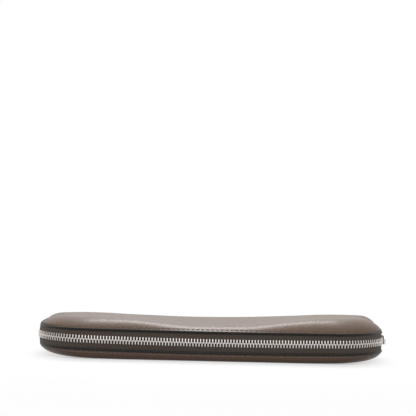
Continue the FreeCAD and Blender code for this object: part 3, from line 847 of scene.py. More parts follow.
def sweep(name, sections, finish, uv=None):
    """A closed piece through a row of like sections, each a closed loop of points."""
    sections = np.asarray(sections)
    faces = tube_faces(*sections.shape[:2])
    made = piece(name, sections.reshape(-1, 3), faces, [finish])
    if uv is not None:
        lay_uv(made, np.asarray(uv).reshape(-1, 2))
    return sharpen(turn_outwards(made), SHARP_SOFT)


def lay_uv(made, places):
    """Lays out the pattern's own coordinates, one pair for each point of the mesh."""
    layer = made.data.uv_layers.new(name=PATTERN)
    corners = np.empty(len(made.data.loops), dtype=np.int32)
    made.data.loops.foreach_get("vertex_index", corners)
    layer.data.foreach_set("uv", places[corners].astype(np.float32).ravel())


def copies(name, points, faces, frames, finish, uv=None):
    """Many copies of one small shape in one piece. A frame is a place and three directions."""
    points = np.asarray(points)
    all_points, all_faces = [], []
    for index, (place, axes) in enumerate(frames):
        all_points.append(place + points @ axes)
        all_faces += [[corner + index * len(points) for corner in face] for face in faces]
    made = piece(name, np.concatenate(all_points), all_faces, [finish])
    if uv is not None:
        lay_uv(made, np.tile(np.asarray(uv), (len(frames), 1)))
    return turn_outwards(made)


# Covers

# The painted edge from the hollow side to the outside: insets and heights over the rim, in mm
EDGE_PROFILE = (
    (1.20, 0.70),
    (1.17, 0.20),
    (0.98, -0.18),
    (0.62, -0.35),
    (0.22, -0.26),
    (-0.06, 0.01),
    (-0.18, 0.40),
    (-0.16, 0.79),
    (-0.05, 1.05),
    (0.06, 1.17),
)
# Half of the stitch groove: distances from its middle in mm, and shares of its depth
GROOVE_SIDE = ((0.15, 0.85), (0.30, 0.30), (0.45, 0.05), (0.62, 0.0))
GROOVE_PROFILE = (
    *[(-offset, share) for offset, share in GROOVE_SIDE[::-1]],
    (0.0, 1.0),
    *GROOVE_SIDE,
)
ROLL_STEPS = 12
CROWN_STEPS = 6
LID_LAND = 0.3 * MM
LID_POWER = 1.5
BASE_LAND = 1.5 * MM
END_LAND = 0.1 * MM
BASE_POWER = 2.2
END_POWER = 1.85
LEAST_RISE = 1.4 * MM
TURN_ROUNDS = 6
ROLL_WIDENS = (35.0 * MM, 85.0 * MM)
ROLL_LIMIT = 0.85


class CoverProfile:
    """How a cover's leather goes from its rim over the roll to its crown, at each station."""

    def __init__(self, form, places, upper):
        self.form, self.places = form, places
        self.side = 1.0 if upper else -1.0
        x = places.plan(0.0)[:, 0]
        end = np.abs(places.normals[:, 0])
        if upper:
            end = np.maximum(end, smooth_step(np.abs(x), *ROLL_WIDENS))
            self.rim = lid_rim(form, x)
            self.crown = lid_crown
            side_values = (form.lid_roll, LID_LAND, LID_POWER)
            end_values = (form.lid_end_roll, END_LAND, END_POWER)
        else:
            self.rim = base_rim(form, x)
            self.crown = foot
            side_values = (form.base_roll, BASE_LAND, BASE_POWER)
            end_values = (form.base_end_roll, END_LAND, END_POWER)
        roll, self.land, self.power = [
            along + (across - along) * end for along, across in zip(side_values, end_values)
        ]
        self.roll = np.minimum(roll, ROLL_LIMIT * places.reach)

    def rise_at(self, inset):
        """How far the crown, drawn on over the roll, stands off the roll's foot at an inset."""
        crown = self.crown(self.form, *self.places.plan(inset).T)
        return np.maximum(self.side * (crown - self.rim) - self.land, LEAST_RISE)

    def drawn_in(self, turn):
        """How far the leather has drawn in at a turn of the roll."""
        return self.roll * (1 - np.clip(np.cos(turn), 0.0, 1.0) ** (2 / self.power))

    def turn_at(self, height):
        """The roll's turn at a height over the rim, from upright to flat."""
        inset = self.roll
        for _ in range(TURN_ROUNDS):
            share = np.clip((height - self.land) / self.rise_at(inset), 0.0, 1.0)
            turn = np.arcsin(share ** (self.power / 2))
            inset = self.drawn_in(turn)
        return turn

    def inset_at(self, height):
        """How far the leather has drawn in at a height over the rim."""
        return self.drawn_in(self.turn_at(height))

    def roll_at(self, turn):
        """Inset and height over the rim at a turn of the roll, which ends in line with the crown."""
        inset = self.drawn_in(turn)
        return inset, self.land + self.rise_at(inset) * np.sin(turn) ** (2 / self.power)

    def level(self, height):
        """Height in the frame at a height over the rim, which counts down for the base."""
        return self.rim + self.side * height


def cover_panel(name, upper):
    """One leather cover: painted edge, stitch groove, roll and crown, with its hollow side."""
    form, seam = settings("form"), settings("seam")
    stations = Stations(form, trim=form.end_trim)
    profile = CoverProfile(form, stations, upper)

    def crown(x, y):
        return profile.crown(form, x, y)

    def hollow(x, y):
        return crown(x, y) - profile.side * form.leather

    def ring(inset, height):
        return with_height(stations.plan(inset), profile.level(height))

    crown_shares = inner_shares(CROWN_STEPS)
    first_turn = profile.turn_at(seam.height + GROOVE_PROFILE[-1][0] * MM)
    roll_shares = [*inner_shares(ROLL_STEPS), 1.0]
    turns = [first_turn + (math.pi / 2 - first_turn) * share for share in roll_shares]
    inner_edge = profile.roll + form.leather
    inner = [raised(stations.drawn_in(inner_edge, share), hollow) for share in crown_shares[::-1]]
    for turn in turns[::-1]:
        inset, height = profile.roll_at(turn)
        inset = inset + form.leather * np.cos(turn)
        inner.append(ring(inset, height - form.leather * np.sin(turn)))
    edge = [ring(inset * MM, height * MM) for inset, height in EDGE_PROFILE]
    outer = []
    for offset, share in GROOVE_PROFILE:
        height = seam.height + offset * MM
        outer.append(ring(profile.inset_at(height) + seam.groove * share, height))
    outer += [ring(*profile.roll_at(turn)) for turn in turns]
    outer += [raised(stations.drawn_in(profile.roll, share), crown) for share in crown_shares]
    rings = inner + edge + outer
    ring_finish = [0] * (len(inner) + 1) + [1] * (len(edge) - 1) + [0] * (len(outer) + 1)
    finishes = ["cover_leather", "edge_paint"]
    sides = [raised(stations.fill(), height_at) for height_at in (hollow, crown)]
    return panel(name, stations, sides[0], rings, sides[1], finishes, ring_finish)


STITCH_RINGS = 7
STITCH_SIDES = 7
STITCH_LIFT, STITCH_DIVE, STITCH_TAPER = 0.75, 1.35, 0.35
STITCH_POWER = 4


def stitch_shape(stitch, thread):
    """One stitch: a thread that comes up out of the leather and goes down again."""
    points, uv = [], []
    for ring in range(STITCH_RINGS):
        place = 2 * ring / (STITCH_RINGS - 1) - 1
        lift = thread * (STITCH_LIFT - STITCH_DIVE * place**STITCH_POWER)
        radius = thread * (1 - STITCH_TAPER * place**STITCH_POWER)
        for side in range(STITCH_SIDES):
            turn = 2 * math.pi * side / STITCH_SIDES
            up = lift + radius * math.cos(turn)
            points.append((place * stitch / 2, up, radius * math.sin(turn)))
            uv.append(((place + 1) / 2, side / STITCH_SIDES))
    return points, tube_faces(STITCH_RINGS, STITCH_SIDES), uv


def slanted(tangent, outward, slant):
    """Directions of a stitch: along, out of the surface and across, turned by its slant."""
    across = np.cross(tangent, outward)
    along = tangent * math.cos(slant) + across * math.sin(slant)
    return np.stack([along, outward, np.cross(along, outward)])


def unit(vector):
    """A vector's direction."""
    return vector / np.linalg.norm(vector)


def line_stitches(name, line, outwards, pitch):
    """A row of stitches along a line of points, each with its direction out of the surface."""
    seam = settings("seam")
    distance = distances(line)
    total = max(1, round(distance[-1] / pitch))
    frames = []
    for place in (np.arange(total) + 0.5) * distance[-1] / total:
        ahead = between_points(place + pitch / 4, distance, line)
        back = between_points(place - pitch / 4, distance, line)
        tangent = unit(ahead - back)
        out = between_points(place, distance, outwards)
        out = unit(out - tangent * (out @ tangent))
        point = between_points(place, distance, line)
        frames.append((point, slanted(tangent, out, seam.slant)))
    points, faces, uv = stitch_shape(seam.stitch * pitch / seam.pitch, seam.thread)
    return copies(name, points, faces, frames, "thread", uv)


SEAM_SAMPLES = 1600
SEAM_STEP = 0.2 * MM


def cover_stitches(name, upper):
    """The row of stitches in a cover's groove, all round the rim."""
    form, seam = settings("form"), settings("seam")
    route = Route(form, 0.0, form.end_trim)
    places = route.at(np.linspace(-route.half, route.half, SEAM_SAMPLES))
    profile = CoverProfile(form, places, upper)
    inset = profile.inset_at(seam.height)
    lean = profile.inset_at(seam.height + SEAM_STEP) - profile.inset_at(seam.height - SEAM_STEP)
    line = with_height(places.plan(inset + seam.groove), profile.level(seam.height))
    outwards = np.column_stack([places.normals * 2 * SEAM_STEP, profile.side * lean])
    return line_stitches(name, line, outwards, seam.pitch)


class PENCASE_OT_covers(bpy.types.Operator):
    """Makes the two leather covers with their painted edges and stitches"""

    bl_idname = "pen_case.covers"
    bl_label = "Leather covers"

    def execute(self, context):
        for half, body in (("lower", "base"), ("upper", "lid")):
            upper = half == "upper"
            leather = cover_panel(half + "_cover_leather", upper)
            seated(leather, body, "cover_leather", half + "_cover")
            stitches = cover_stitches(half + "_cover_stitches", upper)
            seated(stitches, body, "cover_leather")
        return {"FINISHED"}


# Zip

TAPE_FACE_POINTS = 9
BULGE_POWER = 2.4
BULGE_AT_RIM = 0.7
BULGE_LEFT = (-140.0 * MM, -124.0 * MM)
BULGE_RIGHT = (108.0 * MM, 122.0 * MM)
TAPE_SAMPLES = 420
PARTING_BLEND = 2.0 * MM
SPINE_END = 0.15 * MM


def tape_edge(zip_size, distance):
    """Distance of a tape's edge from the chain's middle line."""
    parting, tail = zip_size.parting, zip_size.chain_reach
    parted = smooth_step(distance, parting - PARTING_BLEND, parting + PARTING_BLEND / 2)
    edge = zip_size.tape_edge + zip_size.parting_rise * parted
    share = smooth_step(np.abs(distance), tail, tail + PARTING_BLEND)
    return edge * (1 - share) + zip_size.tail_gap / 2 * share


def zip_bulge(zip_size, distance):
    """How far the chain is pushed out. The slider's straight stretch and the tails keep straight."""
    share = smooth_step(distance, *BULGE_LEFT) * (1 - smooth_step(distance, *BULGE_RIGHT))
    return zip_size.bulge * share


def zip_tape(name, row):
    """Half of the woven tape, from behind the rim over its bulge to its edge in the teeth."""
    form, zip_size = settings("form"), settings("zip")
    route = Route(form, zip_size.inset)
    back = form.half_length - form.back_corner
    end = route.half - back - SPINE_END
    distance = np.linspace(-end, end, TAPE_SAMPLES)
    edge = tape_edge(zip_size, distance)
    places = route.at(distance)
    middle, normals = places.plan(zip_size.inset), places.normals
    bulge = zip_bulge(zip_size, distance)
    lift = bow(form, middle[:, 0])
    chain = zip_size.chain + lift
    rim = (form.lid_rim if row > 0 else form.base_rim) + lift
    shares = np.linspace(0.0, 1.0, TAPE_FACE_POINTS)
    half = zip_size.tape / 2
    sections, uv = [], []
    for i in range(TAPE_SAMPLES):
        top = chain[i] + row * edge[i]
        path = [(0.0, rim[i] + row * zip_size.seam)]
        for share in shares:
            out = bulge[i] * (1 - (1 - BULGE_AT_RIM) * (1 - share) ** BULGE_POWER)
            path.append((out, rim[i] + (top - rim[i]) * share))
        loop = [(out + half, height) for out, height in path]
        loop += [(out - half, height) for out, height in path[::-1]]
        sections.append([(*(middle[i] + normals[i] * out), height) for out, height in loop])
        uv.append([(distance[i], height - lift[i]) for out, height in loop])
    return sweep(name, sections, "zip_tape", uv)


SHARP_EDGE = math.radians(24.0)
BEVEL_ROUNDNESS = 0.6
TOOTH_ROUND = 0.13 * MM
TOOTH_SEGMENTS = 2
CLIP_SHOULDER = (0.92, 0.6)
CLIP_FOOT = 0.66
STOP_HEAD = 0.9


def softened(work, width, segments):
    """Rounds every sharp edge of a working mesh, frees it and gives its points and faces."""
    sharp = [
        edge
        for edge in work.edges
        if len(edge.link_faces) == 2 and edge.calc_face_angle() > SHARP_EDGE
    ]
    bmesh.ops.bevel(
        work,
        geom=sharp,
        offset=width,
        offset_type="OFFSET",
        segments=segments,
        profile=BEVEL_ROUNDNESS,
        affect="EDGES",
        clamp_overlap=True,
    )
    work.verts.index_update()
    points = [tuple(vertex.co) for vertex in work.verts]
    faces = [[vertex.index for vertex in face.verts] for face in work.faces]
    work.free()
    return points, faces


def clip_shape(row, thick, reach, head):
    """A tooth or stop that grips the tape's edge, with rounded edges. Along, outwards, up."""
    zip_size = settings("zip")
    depth, half = zip_size.depth / 2, zip_size.width / 2
    right = [
        (head / 2, -reach),
        (depth * CLIP_SHOULDER[0], half * CLIP_SHOULDER[1]),
        (depth * CLIP_FOOT, half),
        (zip_size.slot, half),
        (zip_size.slot, zip_size.seat),
    ]
    if reach > 0:
        right.insert(1, (depth, 0.0))
    profile = right + [(-out, up) for out, up in right[::-1]]
    work = bmesh.new()
    corners = []
    for along in (-thick / 2, thick / 2):
        corners += [work.verts.new((along, out, row * up)) for out, up in profile]
    for face in tube_faces(2, len(profile)):
        work.faces.new([corners[index] for index in face])
    bmesh.ops.recalc_face_normals(work, faces=work.faces[:])
    return softened(work, TOOTH_ROUND, TOOTH_SEGMENTS)


def chain_frames(places, lifts):
    """Places and directions along the chain: along it, outwards and up."""
    form, zip_size = settings("form"), settings("zip")
    chain = Route(form, zip_size.inset).at(places)
    plan = chain.plan(zip_size.inset - zip_bulge(zip_size, places))
    frames = []
    for (x, y), (u, v), lift in zip(plan, chain.normals, lifts):
        slope = 2 * form.bow_rise * x / form.half_length**2 * -v
        tangent = unit(np.array([-v, u, slope]))
        outward = np.array([u, v, 0.0])
        point = np.array([x, y, zip_size.chain + bow(form, x) + lift])
        frames.append((point, np.stack([tangent, outward, np.cross(outward, tangent)])))
    return frames


def row_places(row):
    """Distances of one row's teeth. The two rows are half a pitch apart."""
    zip_size = settings("zip")
    offset = zip_size.pitch / 2 if row > 0 else 0.0
    total = math.ceil(zip_size.teeth_reach / zip_size.pitch)
    places = np.arange(-total, total + 1) * zip_size.pitch + offset
    return places[np.abs(places) <= zip_size.teeth_reach - zip_size.thick / 2]


def clips(name, row, places, lifts, *sizes):
    """A group of separate clips of one size along the chain."""
    frames = chain_frames(places, lifts)
    return sharpen(copies(name, *clip_shape(row, *sizes), frames, "nickel"), SHARP_TEETH)


def teeth_piece(name, row, places):
    """A group of teeth. Those past the slider stand apart from the other row."""
    zip_size = settings("zip")
    parted = places - zip_size.thick / 2 > zip_size.parting
    sizes = (zip_size.thick, zip_size.reach, zip_size.head)
    return clips(name, row, places, row * zip_size.parting_rise * parted, *sizes)


def stops_piece(name, row):
    """The two clips that end one row."""
    zip_size = settings("zip")
    place = zip_size.chain_reach - zip_size.stop / 2
    sizes = (zip_size.stop, -zip_size.seat / 2, zip_size.depth * STOP_HEAD)
    return clips(name, row, np.array([-place, place]), [0.0, row * zip_size.parting_rise], *sizes)


class PENCASE_OT_zip(bpy.types.Operator):
    """Makes the woven tapes, the teeth and the end stops"""

    bl_idname = "pen_case.zip"
    bl_label = "Zip tapes and teeth"

    def execute(self, context):
        start = settings("zip").closing_start
        for half, body, row in (("lower", "base", -1), ("upper", "lid", 1)):
            tape = zip_tape(half + "_tape_cloth", row)
            seated(tape, body, "tape_cloth", half + "_zip_tape")
            places = row_places(row)
            chain = teeth_piece(half + "_chain_teeth", row, places[places < start])
            seated(chain, body, "zip_nickel", half + "_zip_teeth")
            closing = teeth_piece(half + "_end_teeth", row, places[places >= start])
            seated(closing, body, "zip_nickel", half + "_closing_teeth")
            stops = stops_piece(half + "_end_stops", row)
            seated(stops, body, "zip_nickel", half + "_zip_stops")
        return {"FINISHED"}


MERGE_DISTANCE = 0.001 * MM
FLAT_ANGLE = math.radians(1.0)
SLIDER_ROUND = 0.16 * MM
PULL_ROUND = 0.14 * MM
METAL_SEGMENTS = 3


def softened_copy(name, node, width):
    """A copy of a node's shape with rounded edges."""
    work = bmesh.new()
    work.from_mesh(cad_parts[node].data)
    bmesh.ops.remove_doubles(work, verts=work.verts[:], dist=MERGE_DISTANCE)
    bmesh.ops.dissolve_limit(
        work, angle_limit=FLAT_ANGLE, verts=work.verts[:], edges=work.edges[:]
    )
    made = piece(name, *softened(work, width, METAL_SEGMENTS), ["nickel"])
    return sharpen(turn_outwards(made), SHARP_METAL)


class PENCASE_OT_slider(bpy.types.Operator):
    """Makes the zip's slider and its pull tab"""

    bl_idname = "pen_case.slider"
    bl_label = "Slider and pull"

    def execute(self, context):
        slider = softened_copy("slider_metal", "slider_body", SLIDER_ROUND)
        seated(slider, "slider", "zip_nickel", "slider_body")
        pull = softened_copy("pull_metal", "pull_tab", PULL_ROUND)
        seated(pull, "pull", "zip_nickel", "pull_tab")
        return {"FINISHED"}


# Spine

SPINE_STEPS = 64
SPINE_TUCK = 1.7 * MM
SPINE_OUTER_INSET = 1.3 * MM
SPINE_LINING_INSET = 2.55 * MM
SPINE_LEATHER = 1.2 * MM
SPINE_TUCK_LEATHER = 0.55 * MM
SPINE_CLOTH = 0.6 * MM
SPINE_MARGIN = 0.4 * MM
SPINE_ROWS = 12
SPINE_BULGE = 0.35 * MM
SPINE_THICKENS = (0.15, 0.45)
SPINE_SINKS = (0.3, 1.0)


def spine_half(name, upper, inset, thick, tucked, finish):
    """Half of a strip along the back, from inside a cover to the middle of the spine."""
    form, zip_size = settings("form"), settings("zip")
    reach = form.half_length - form.back_corner - SPINE_MARGIN
    outer = form.half_depth - inset
    start = form.lid_rim + SPINE_TUCK if upper else form.base_rim - SPINE_TUCK
    sections = []
    for x in np.linspace(-reach, reach, SPINE_STEPS):
        front, back = [], []
        for share in np.linspace(0.0, 1.0, SPINE_ROWS):
            height = start + (zip_size.chain - start) * share + bow(form, x)
            depth = tucked + (thick - tucked) * smooth_step(share, *SPINE_THICKENS)
            out = outer - SPINE_BULGE * smooth_step(share, *SPINE_SINKS)
            back.append((x, out, height))
            front.append((x, out - depth, height))
        sections.append(back + front[::-1])
    return sweep(name, sections, finish)


def bent_half(made, node):
    """Bakes the place of half of the spine's strip into its mesh and hides the node that it replaces.
    """
    depth = settings("form").half_depth
    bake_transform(made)
    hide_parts(node)


def spine_strip(name, slot, node, *sizes):
    """One strip of the spine, in two halves that meet at its middle."""
    lower = spine_half(name + "_lower", False, *sizes)
    bent_half(lower, node)
    upper = spine_half(name + "_upper", True, *sizes)
    bent_half(upper, node)


class PENCASE_OT_spine(bpy.types.Operator):
    """Makes the spine's leather and its lining, each in two halves"""

    bl_idname = "pen_case.spine"
    bl_label = "Spine"

    def execute(self, context):
        leather = (SPINE_OUTER_INSET, SPINE_LEATHER, SPINE_TUCK_LEATHER, "cover_leather")
        spine_strip("spine_leather", "spine_leather", "spine_gusset", *leather)
        cloth = (SPINE_LINING_INSET, SPINE_CLOTH, SPINE_CLOTH, "lining")
        spine_strip("spine_cloth", "lining_cloth", "spine_lining", *cloth)
        return {"FINISHED"}


# Inside

LINING_INSET = 1.9 * MM
LINING_THICK = 0.6 * MM
TRAY_FLOOR = 3.35 * MM
TRAY_BEND = 1.0 * MM
LID_LINING_LOW = 17.15 * MM
BEND_STEPS = 5
LINING_CROWN_STEPS = 5


def wrapped(name, finish, stations, path, height_at):
    """A closed panel from the insets and values of its edge. height_at gives a value's height."""

    def side(plan, value):
        return raised(plan, lambda x, y: height_at(value, x, y))

    inner_inset, inner = path[0]
    outer_inset, outer = path[-1]
    shares = inner_shares(LINING_CROWN_STEPS)
    rings = [side(stations.drawn_in(inner_inset, share), inner) for share in shares[::-1]]
    rings += [side(stations.plan(inset), value) for inset, value in path]
    rings += [side(stations.drawn_in(outer_inset, share), outer) for share in shares]
    fill = stations.fill()
    return panel(name, stations, side(fill, inner), rings, side(fill, outer), [finish])


def cloth_panel(name, path):
    """A closed cloth panel from its edge profile: insets with heights that follow the bow."""
    form = settings("form")
    return wrapped(name, "lining", Stations(form), path, lambda height, x, y: height + bow(form, x))


def bend(inset, height, radius, steps):
    """A quarter round in a corner, from flat to upright, as pairs of inset and height."""
    path = []
    for step in range(steps + 1):
        turn = math.pi / 2 * step / steps
        path.append((inset + radius * (1 - math.sin(turn)), height + radius * (1 - math.cos(turn))))
    return path


def tray_profile(form):
    """From under the tray's floor round its bend, over the lip and back to the floor."""
    inner = LINING_INSET + LINING_THICK
    quarter = LINING_THICK / 4
    shoulder = form.base_rim - LINING_THICK / 3
    path = bend(LINING_INSET, TRAY_FLOOR - LINING_THICK, TRAY_BEND + LINING_THICK, BEND_STEPS)
    path.append((LINING_INSET, shoulder))
    path.append((LINING_INSET + quarter, form.base_rim))
    path.append((inner - quarter, form.base_rim))
    path.append((inner, shoulder))
    return path + bend(inner, TRAY_FLOOR, TRAY_BEND, BEND_STEPS)[::-1]


def flat_profile(inset, low, high, edge):
    """Round the edge of a flat sheet from its under side to its upper side."""
    return [
        (inset + 2 * edge, low),
        (inset + edge / 2, low + edge / 3),
        (inset, (low + high) / 2),
        (inset + edge / 2, high - edge / 3),
        (inset + 2 * edge, high),
    ]


class PENCASE_OT_linings(bpy.types.Operator):
    """Makes the twill linings of the base and the lid"""

    bl_idname = "pen_case.linings"
    bl_label = "Linings"

    def execute(self, context):
        form = settings("form")
        tray = cloth_panel("lower_lining_cloth", tray_profile(form))
        seated(tray, "base", "lining_cloth", "lower_lining")
        high = LID_LINING_LOW + LINING_THICK
        profile = flat_profile(LINING_INSET, LID_LINING_LOW, high, LINING_THICK / 2)
        ceiling = cloth_panel("upper_lining_cloth", profile)
        seated(ceiling, "lid", "lining_cloth", "upper_lining")
        return {"FINISHED"}


LOOP_LOW = 4.05 * MM
LOOP_INNER_HEIGHT = 11.7 * MM
LOOP_BEND = 0.7 * MM
LOOP_ARCH_STEPS = 18
LOOP_BEND_STEPS = 4
LOOP_EDGE = 0.25 * MM
STRIP_MARGIN = 3.0 * MM
STRIP_LOW = 3.40 * MM
STRIP_THICK = 0.6 * MM
STRIP_STEPS = 14
LOOP_STITCH_PITCH = 2.5 * MM


def band_section(low, high, thick, edge):
    """A flat band's section: places across its width and out of its middle, with round edges."""
    half = thick / 2
    return [
        (low, -half + edge),
        (low + edge, -half),
        (high - edge, -half),
        (high, -half + edge),
        (high, half - edge),
        (high - edge, half),
        (low + edge, half),
        (low, half - edge),
    ]


def loop_line(loops):
    """The loop's middle line from one foot over the arch to the other: places across and up."""
    middle = loops.inner / 2 + loops.leather / 2
    low = LOOP_LOW + loops.leather / 2
    spring = LOOP_LOW + LOOP_INNER_HEIGHT - loops.inner / 2
    right = [(middle + loops.leather / 2 + loops.foot, low)]
    right += bend(middle, low, LOOP_BEND, LOOP_BEND_STEPS)
    arch = []
    for step in range(LOOP_ARCH_STEPS + 1):
        turn = math.pi * step / LOOP_ARCH_STEPS
        arch.append((middle * math.cos(turn), spring + middle * math.sin(turn)))
    left = [(-across, up) for across, up in right[::-1]]
    return np.array(right + arch + left)


def pen_loop(name, y):
    """A leather loop: a band with round edges that arches over the pen on two sewn feet."""
    loops = settings("loops")
    line = loop_line(loops)
    tangents = np.gradient(line, axis=0)
    tangents /= np.linalg.norm(tangents, axis=1)[:, None]
    outwards = np.stack([tangents[:, 1], -tangents[:, 0]], axis=1)
    section = band_section(-loops.width / 2, loops.width / 2, loops.leather, LOOP_EDGE)
    sections = []
    for (across, up), (out_across, out_up) in zip(line, outwards):
        sections.append([(x, y + across + out_across * out, up + out_up * out) for x, out in section])
    return sweep(name, sections, "loop_leather")


def foot_stitches(name, y):
    """A row of stitches on each foot of a loop."""
    loops = settings("loops")
    across = loops.inner / 2 + loops.leather + loops.foot / 2
    reach = loops.width / 2 - STRIP_MARGIN / 2
    xs = np.linspace(-reach, reach, STRIP_STEPS)
    level = np.full_like(xs, LOOP_LOW + loops.leather)
    up = np.tile([0.0, 0.0, 1.0], (STRIP_STEPS, 1))
    rows = []
    for side, end in ((-1, "_near"), (1, "_far")):
        line = np.column_stack([xs, np.full_like(xs, y + side * across), level])
        rows.append(line_stitches(name + end, line, up, LOOP_STITCH_PITCH))
    return rows


def loop_strip(name):
    """The leather strip that the loops are sewn to."""
    form, loops = settings("form"), settings("loops")
    half_width = loops.width / 2 + STRIP_MARGIN
    half_span = (loops.pitch * (loops.count - 1) + loops.inner) / 2
    half_span += loops.leather + loops.foot + STRIP_MARGIN / 2
    section = band_section(-half_span, half_span, STRIP_THICK, LOOP_EDGE)
    middle = STRIP_LOW + STRIP_THICK / 2
    sections = []
    for x in np.linspace(-half_width, half_width, STRIP_STEPS):
        sections.append([(x, y, middle + bow(form, x) + out) for y, out in section])
    return sweep(name, sections, "loop_leather")


class PENCASE_OT_loops(bpy.types.Operator):
    """Makes the pen loops, their stitches and the strip under them"""

    bl_idname = "pen_case.loops"
    bl_label = "Pen loops"

    def execute(self, context):
        loops = settings("loops")
        seated(loop_strip("loop_strip_leather"), "base", "loop_leather", "loop_strip")
        for index in range(loops.count):
            y = loops.pitch * (index - (loops.count - 1) / 2)
            loop = pen_loop("pen_loop_leather_%d" % (index + 1), y)
            seated(loop, "base", "loop_leather", "pen_loop_%d" % (index + 1))
            for row in foot_stitches("pen_loop_stitches_%d" % (index + 1), y):
                seated(row, "base", "loop_leather")
        return {"FINISHED"}


FOAM_GAP = 0.5 * MM
FOAM_EDGE = 1.2 * MM
LAYER_EDGE = 0.3 * MM
LEATHER_GAP = 0.25 * MM
UPPER_FOAM_LOW = 18.47 * MM
LOWER_FOAM_LOW = 1.3 * MM
LOWER_FOAM_HIGH = 1.9 * MM
BOARDS = (
    ("upper", "lid", 17.8 * MM, 18.4 * MM),
    ("lower", "base", 2.0 * MM, 2.7 * MM),
)
BOARD_INSETS = (3.0 * MM, 6.0 * MM)
EDGE_LOW_SHARE, EDGE_HIGH_SHARE = 0.35, 0.65


def bowed(height):
    """A height that follows the bow of the case."""
    return lambda form, x, y: height + bow(form, x)


def layer_panel(name, finish, insets, low, high, edge):
    """A layer inside a cover, between two heights given along and across the case."""
    form = settings("form")
    stations = Stations(form)
    side_inset, end_inset = insets
    inset = side_inset + (end_inset - side_inset) * np.abs(stations.normals[:, 0])
    inset = np.minimum(inset, ROLL_LIMIT * stations.reach)

    def between(share, x, y):
        bottom = low(form, x, y)
        top = np.maximum(high(form, x, y), bottom + edge)
        return bottom + (top - bottom) * share

    full = inset + edge
    path = [(full, 0.0), (inset, EDGE_LOW_SHARE), (inset, EDGE_HIGH_SHARE), (full, 1.0)]
    return wrapped(name, finish, stations, path, between)


def under_crown(form, x, y):
    """The hollow side of the lid's leather, less a small gap."""
    return lid_crown(form, x, y) - (form.leather + LEATHER_GAP)


def over_foot(form, x, y):
    """The hollow side of the base's leather, with a small gap."""
    return LOWER_FOAM_LOW + foot(form, x, y)


class PENCASE_OT_layers(bpy.types.Operator):
    """Makes the foam and the stiff board inside both covers"""

    bl_idname = "pen_case.layers"
    bl_label = "Foam and boards"

    def execute(self, context):
        form = settings("form")
        insets = (form.lid_roll + FOAM_GAP, form.lid_end_roll + FOAM_GAP)
        low = bowed(UPPER_FOAM_LOW)
        upper_foam = layer_panel("upper_foam", "foam", insets, low, under_crown, FOAM_EDGE)
        seated(upper_foam, "lid", "padding_foam", "upper_padding")
        insets = (form.base_roll + FOAM_GAP, form.base_end_roll + FOAM_GAP)
        high = bowed(LOWER_FOAM_HIGH)
        lower_foam = layer_panel("lower_foam", "foam", insets, over_foot, high, LAYER_EDGE)
        seated(lower_foam, "base", "padding_foam", "lower_padding")
        for half, body, under, over in BOARDS:
            heights = (bowed(under), bowed(over))
            board = layer_panel(half + "_stiffener", "board", BOARD_INSETS, *heights, LAYER_EDGE)
            seated(board, body, "stiff_board", half + "_board")
        return {"FINISHED"}


# Stage

FLOOR_HALF = 6.0
FLOOR_DROP = 0.05 * MM
SENSOR = 36.0
KEY_PLACE = (0.0, -0.14, 0.60)
KEY_SIZE = (0.9, 0.9)
FILL_PLACE = (-0.20, -0.78, 0.27)
FILL_SIZE = (0.5, 0.25)
BACK_PLACE = (0.0, 0.50, 0.64)
BACK_SIZE = (0.30, 0.30)


def area_light(name, place, target, size, power):
    """A soft rectangular light that looks at a point. Its size is a width and a depth."""
    lamp = bpy.data.lights.new(name, "AREA")
    lamp.shape = "RECTANGLE"
    lamp.size, lamp.size_y = size
    lamp.energy = power
    made = bpy.data.objects.new(name, lamp)
    made.location = place
    made.rotation_euler = (Vector(target) - Vector(place)).to_track_quat("-Z", "Y").to_euler()
    bpy.context.scene.collection.objects.link(made)


def studio_sky(strength):
    """All-round light, which the eye and shiny surfaces see as plain white."""
    world = bpy.data.worlds.new("pen_case_studio")
    world.use_nodes = True
    nodes = Nodes(world.node_tree)
    dim = nodes.glow("ShaderNodeBackground", strength)
    plain = nodes.glow("ShaderNodeBackground", 1.0)
    surface = nodes.blend(nodes.plainly_seen(), dim, plain)
    nodes.add("ShaderNodeOutputWorld", None, {"Surface": surface})
    bpy.context.scene.world = world


def studio_floor():
    """The floor just under the case."""
    corners = ((-1, -1), (1, -1), (1, 1), (-1, 1))
    points = [(x * FLOOR_HALF, y * FLOOR_HALF, -FLOOR_DROP) for x, y in corners]
    piece("studio_floor", points, [[0, 1, 2, 3]], ["floor"], smooth=False)


def studio_camera(stage):
    """The camera that takes the photograph's place."""
    eye = bpy.data.cameras.new("pen_case_camera")
    eye.sensor_width = SENSOR
    eye.lens = stage.lens
    camera = bpy.data.objects.new("pen_case_camera", eye)
    camera.location = (stage.camera_x, stage.camera_y, stage.camera_z)
    upright = Euler((math.pi / 2 + stage.pitch, 0.0, 0.0)).to_matrix()
    lean = Euler((0.0, 0.0, stage.roll)).to_matrix()
    camera.rotation_euler = (upright @ lean).to_euler()
    bpy.context.scene.collection.objects.link(camera)
    bpy.context.scene.camera = camera


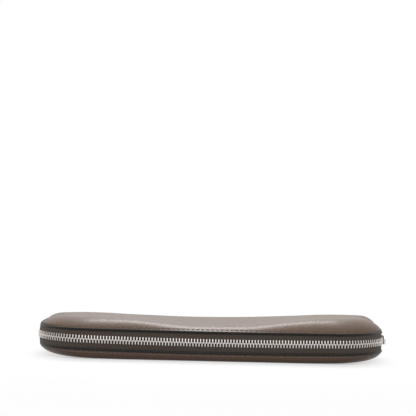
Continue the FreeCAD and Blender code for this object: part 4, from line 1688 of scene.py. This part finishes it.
class PENCASE_OT_stage(bpy.types.Operator):
    """Makes the floor, the soft studio light and the camera"""

    bl_idname = "pen_case.stage"
    bl_label = "Stage"

    def execute(self, context):
        stage = settings("stage")
        studio_floor()
        studio_sky(stage.sky)
        middle = (0.0, 0.0, settings("zip").chain)
        area_light("overhead_light", KEY_PLACE, middle, KEY_SIZE, stage.key)
        area_light("front_light", FILL_PLACE, middle, FILL_SIZE, stage.fill)
        area_light("back_light", BACK_PLACE, middle, BACK_SIZE, stage.back)
        studio_camera(stage)
        bpy.context.scene.view_settings.view_transform = "Standard"
        return {"FINISHED"}


OPERATORS = (
    PENCASE_OT_covers,
    PENCASE_OT_zip,
    PENCASE_OT_slider,
    PENCASE_OT_spine,
    PENCASE_OT_linings,
    PENCASE_OT_loops,
    PENCASE_OT_layers,
    PENCASE_OT_stage,
)


class PENCASE_PT_panel(bpy.types.Panel):
    """Lists what the case is made of"""

    bl_idname = "PENCASE_PT_panel"
    bl_label = "Pen Case"
    bl_space_type = "VIEW_3D"
    bl_region_type = "UI"
    bl_category = "Pen Case"

    def draw(self, context):
        for name, group in GROUPS.items():
            box = self.layout.box()
            box.label(text=name.title())
            for entry in group.__annotations__:
                box.prop(settings(name), entry)
        for operator in OPERATORS:
            self.layout.operator(operator.bl_idname)


CLASSES = (*GROUPS.values(), *OPERATORS, PENCASE_PT_panel)


def register():
    """Adds the classes, and the groups of settings to every scene."""
    for part in CLASSES:
        bpy.utils.register_class(part)
    for name, group in GROUPS.items():
        setattr(bpy.types.Scene, PREFIX + name, bpy.props.PointerProperty(type=group))


def unregister():
    """Takes away what register added."""
    for name in GROUPS:
        delattr(bpy.types.Scene, PREFIX + name)
    for part in CLASSES[::-1]:
        bpy.utils.unregister_class(part)


def main():
    """Makes every piece in order."""
    register()
    bpy.ops.pen_case.covers()
    bpy.ops.pen_case.zip()
    bpy.ops.pen_case.slider()
    bpy.ops.pen_case.spine()
    bpy.ops.pen_case.linings()
    bpy.ops.pen_case.loops()
    bpy.ops.pen_case.layers()
    bpy.ops.pen_case.stage()


if __name__ == "__main__":
    main()
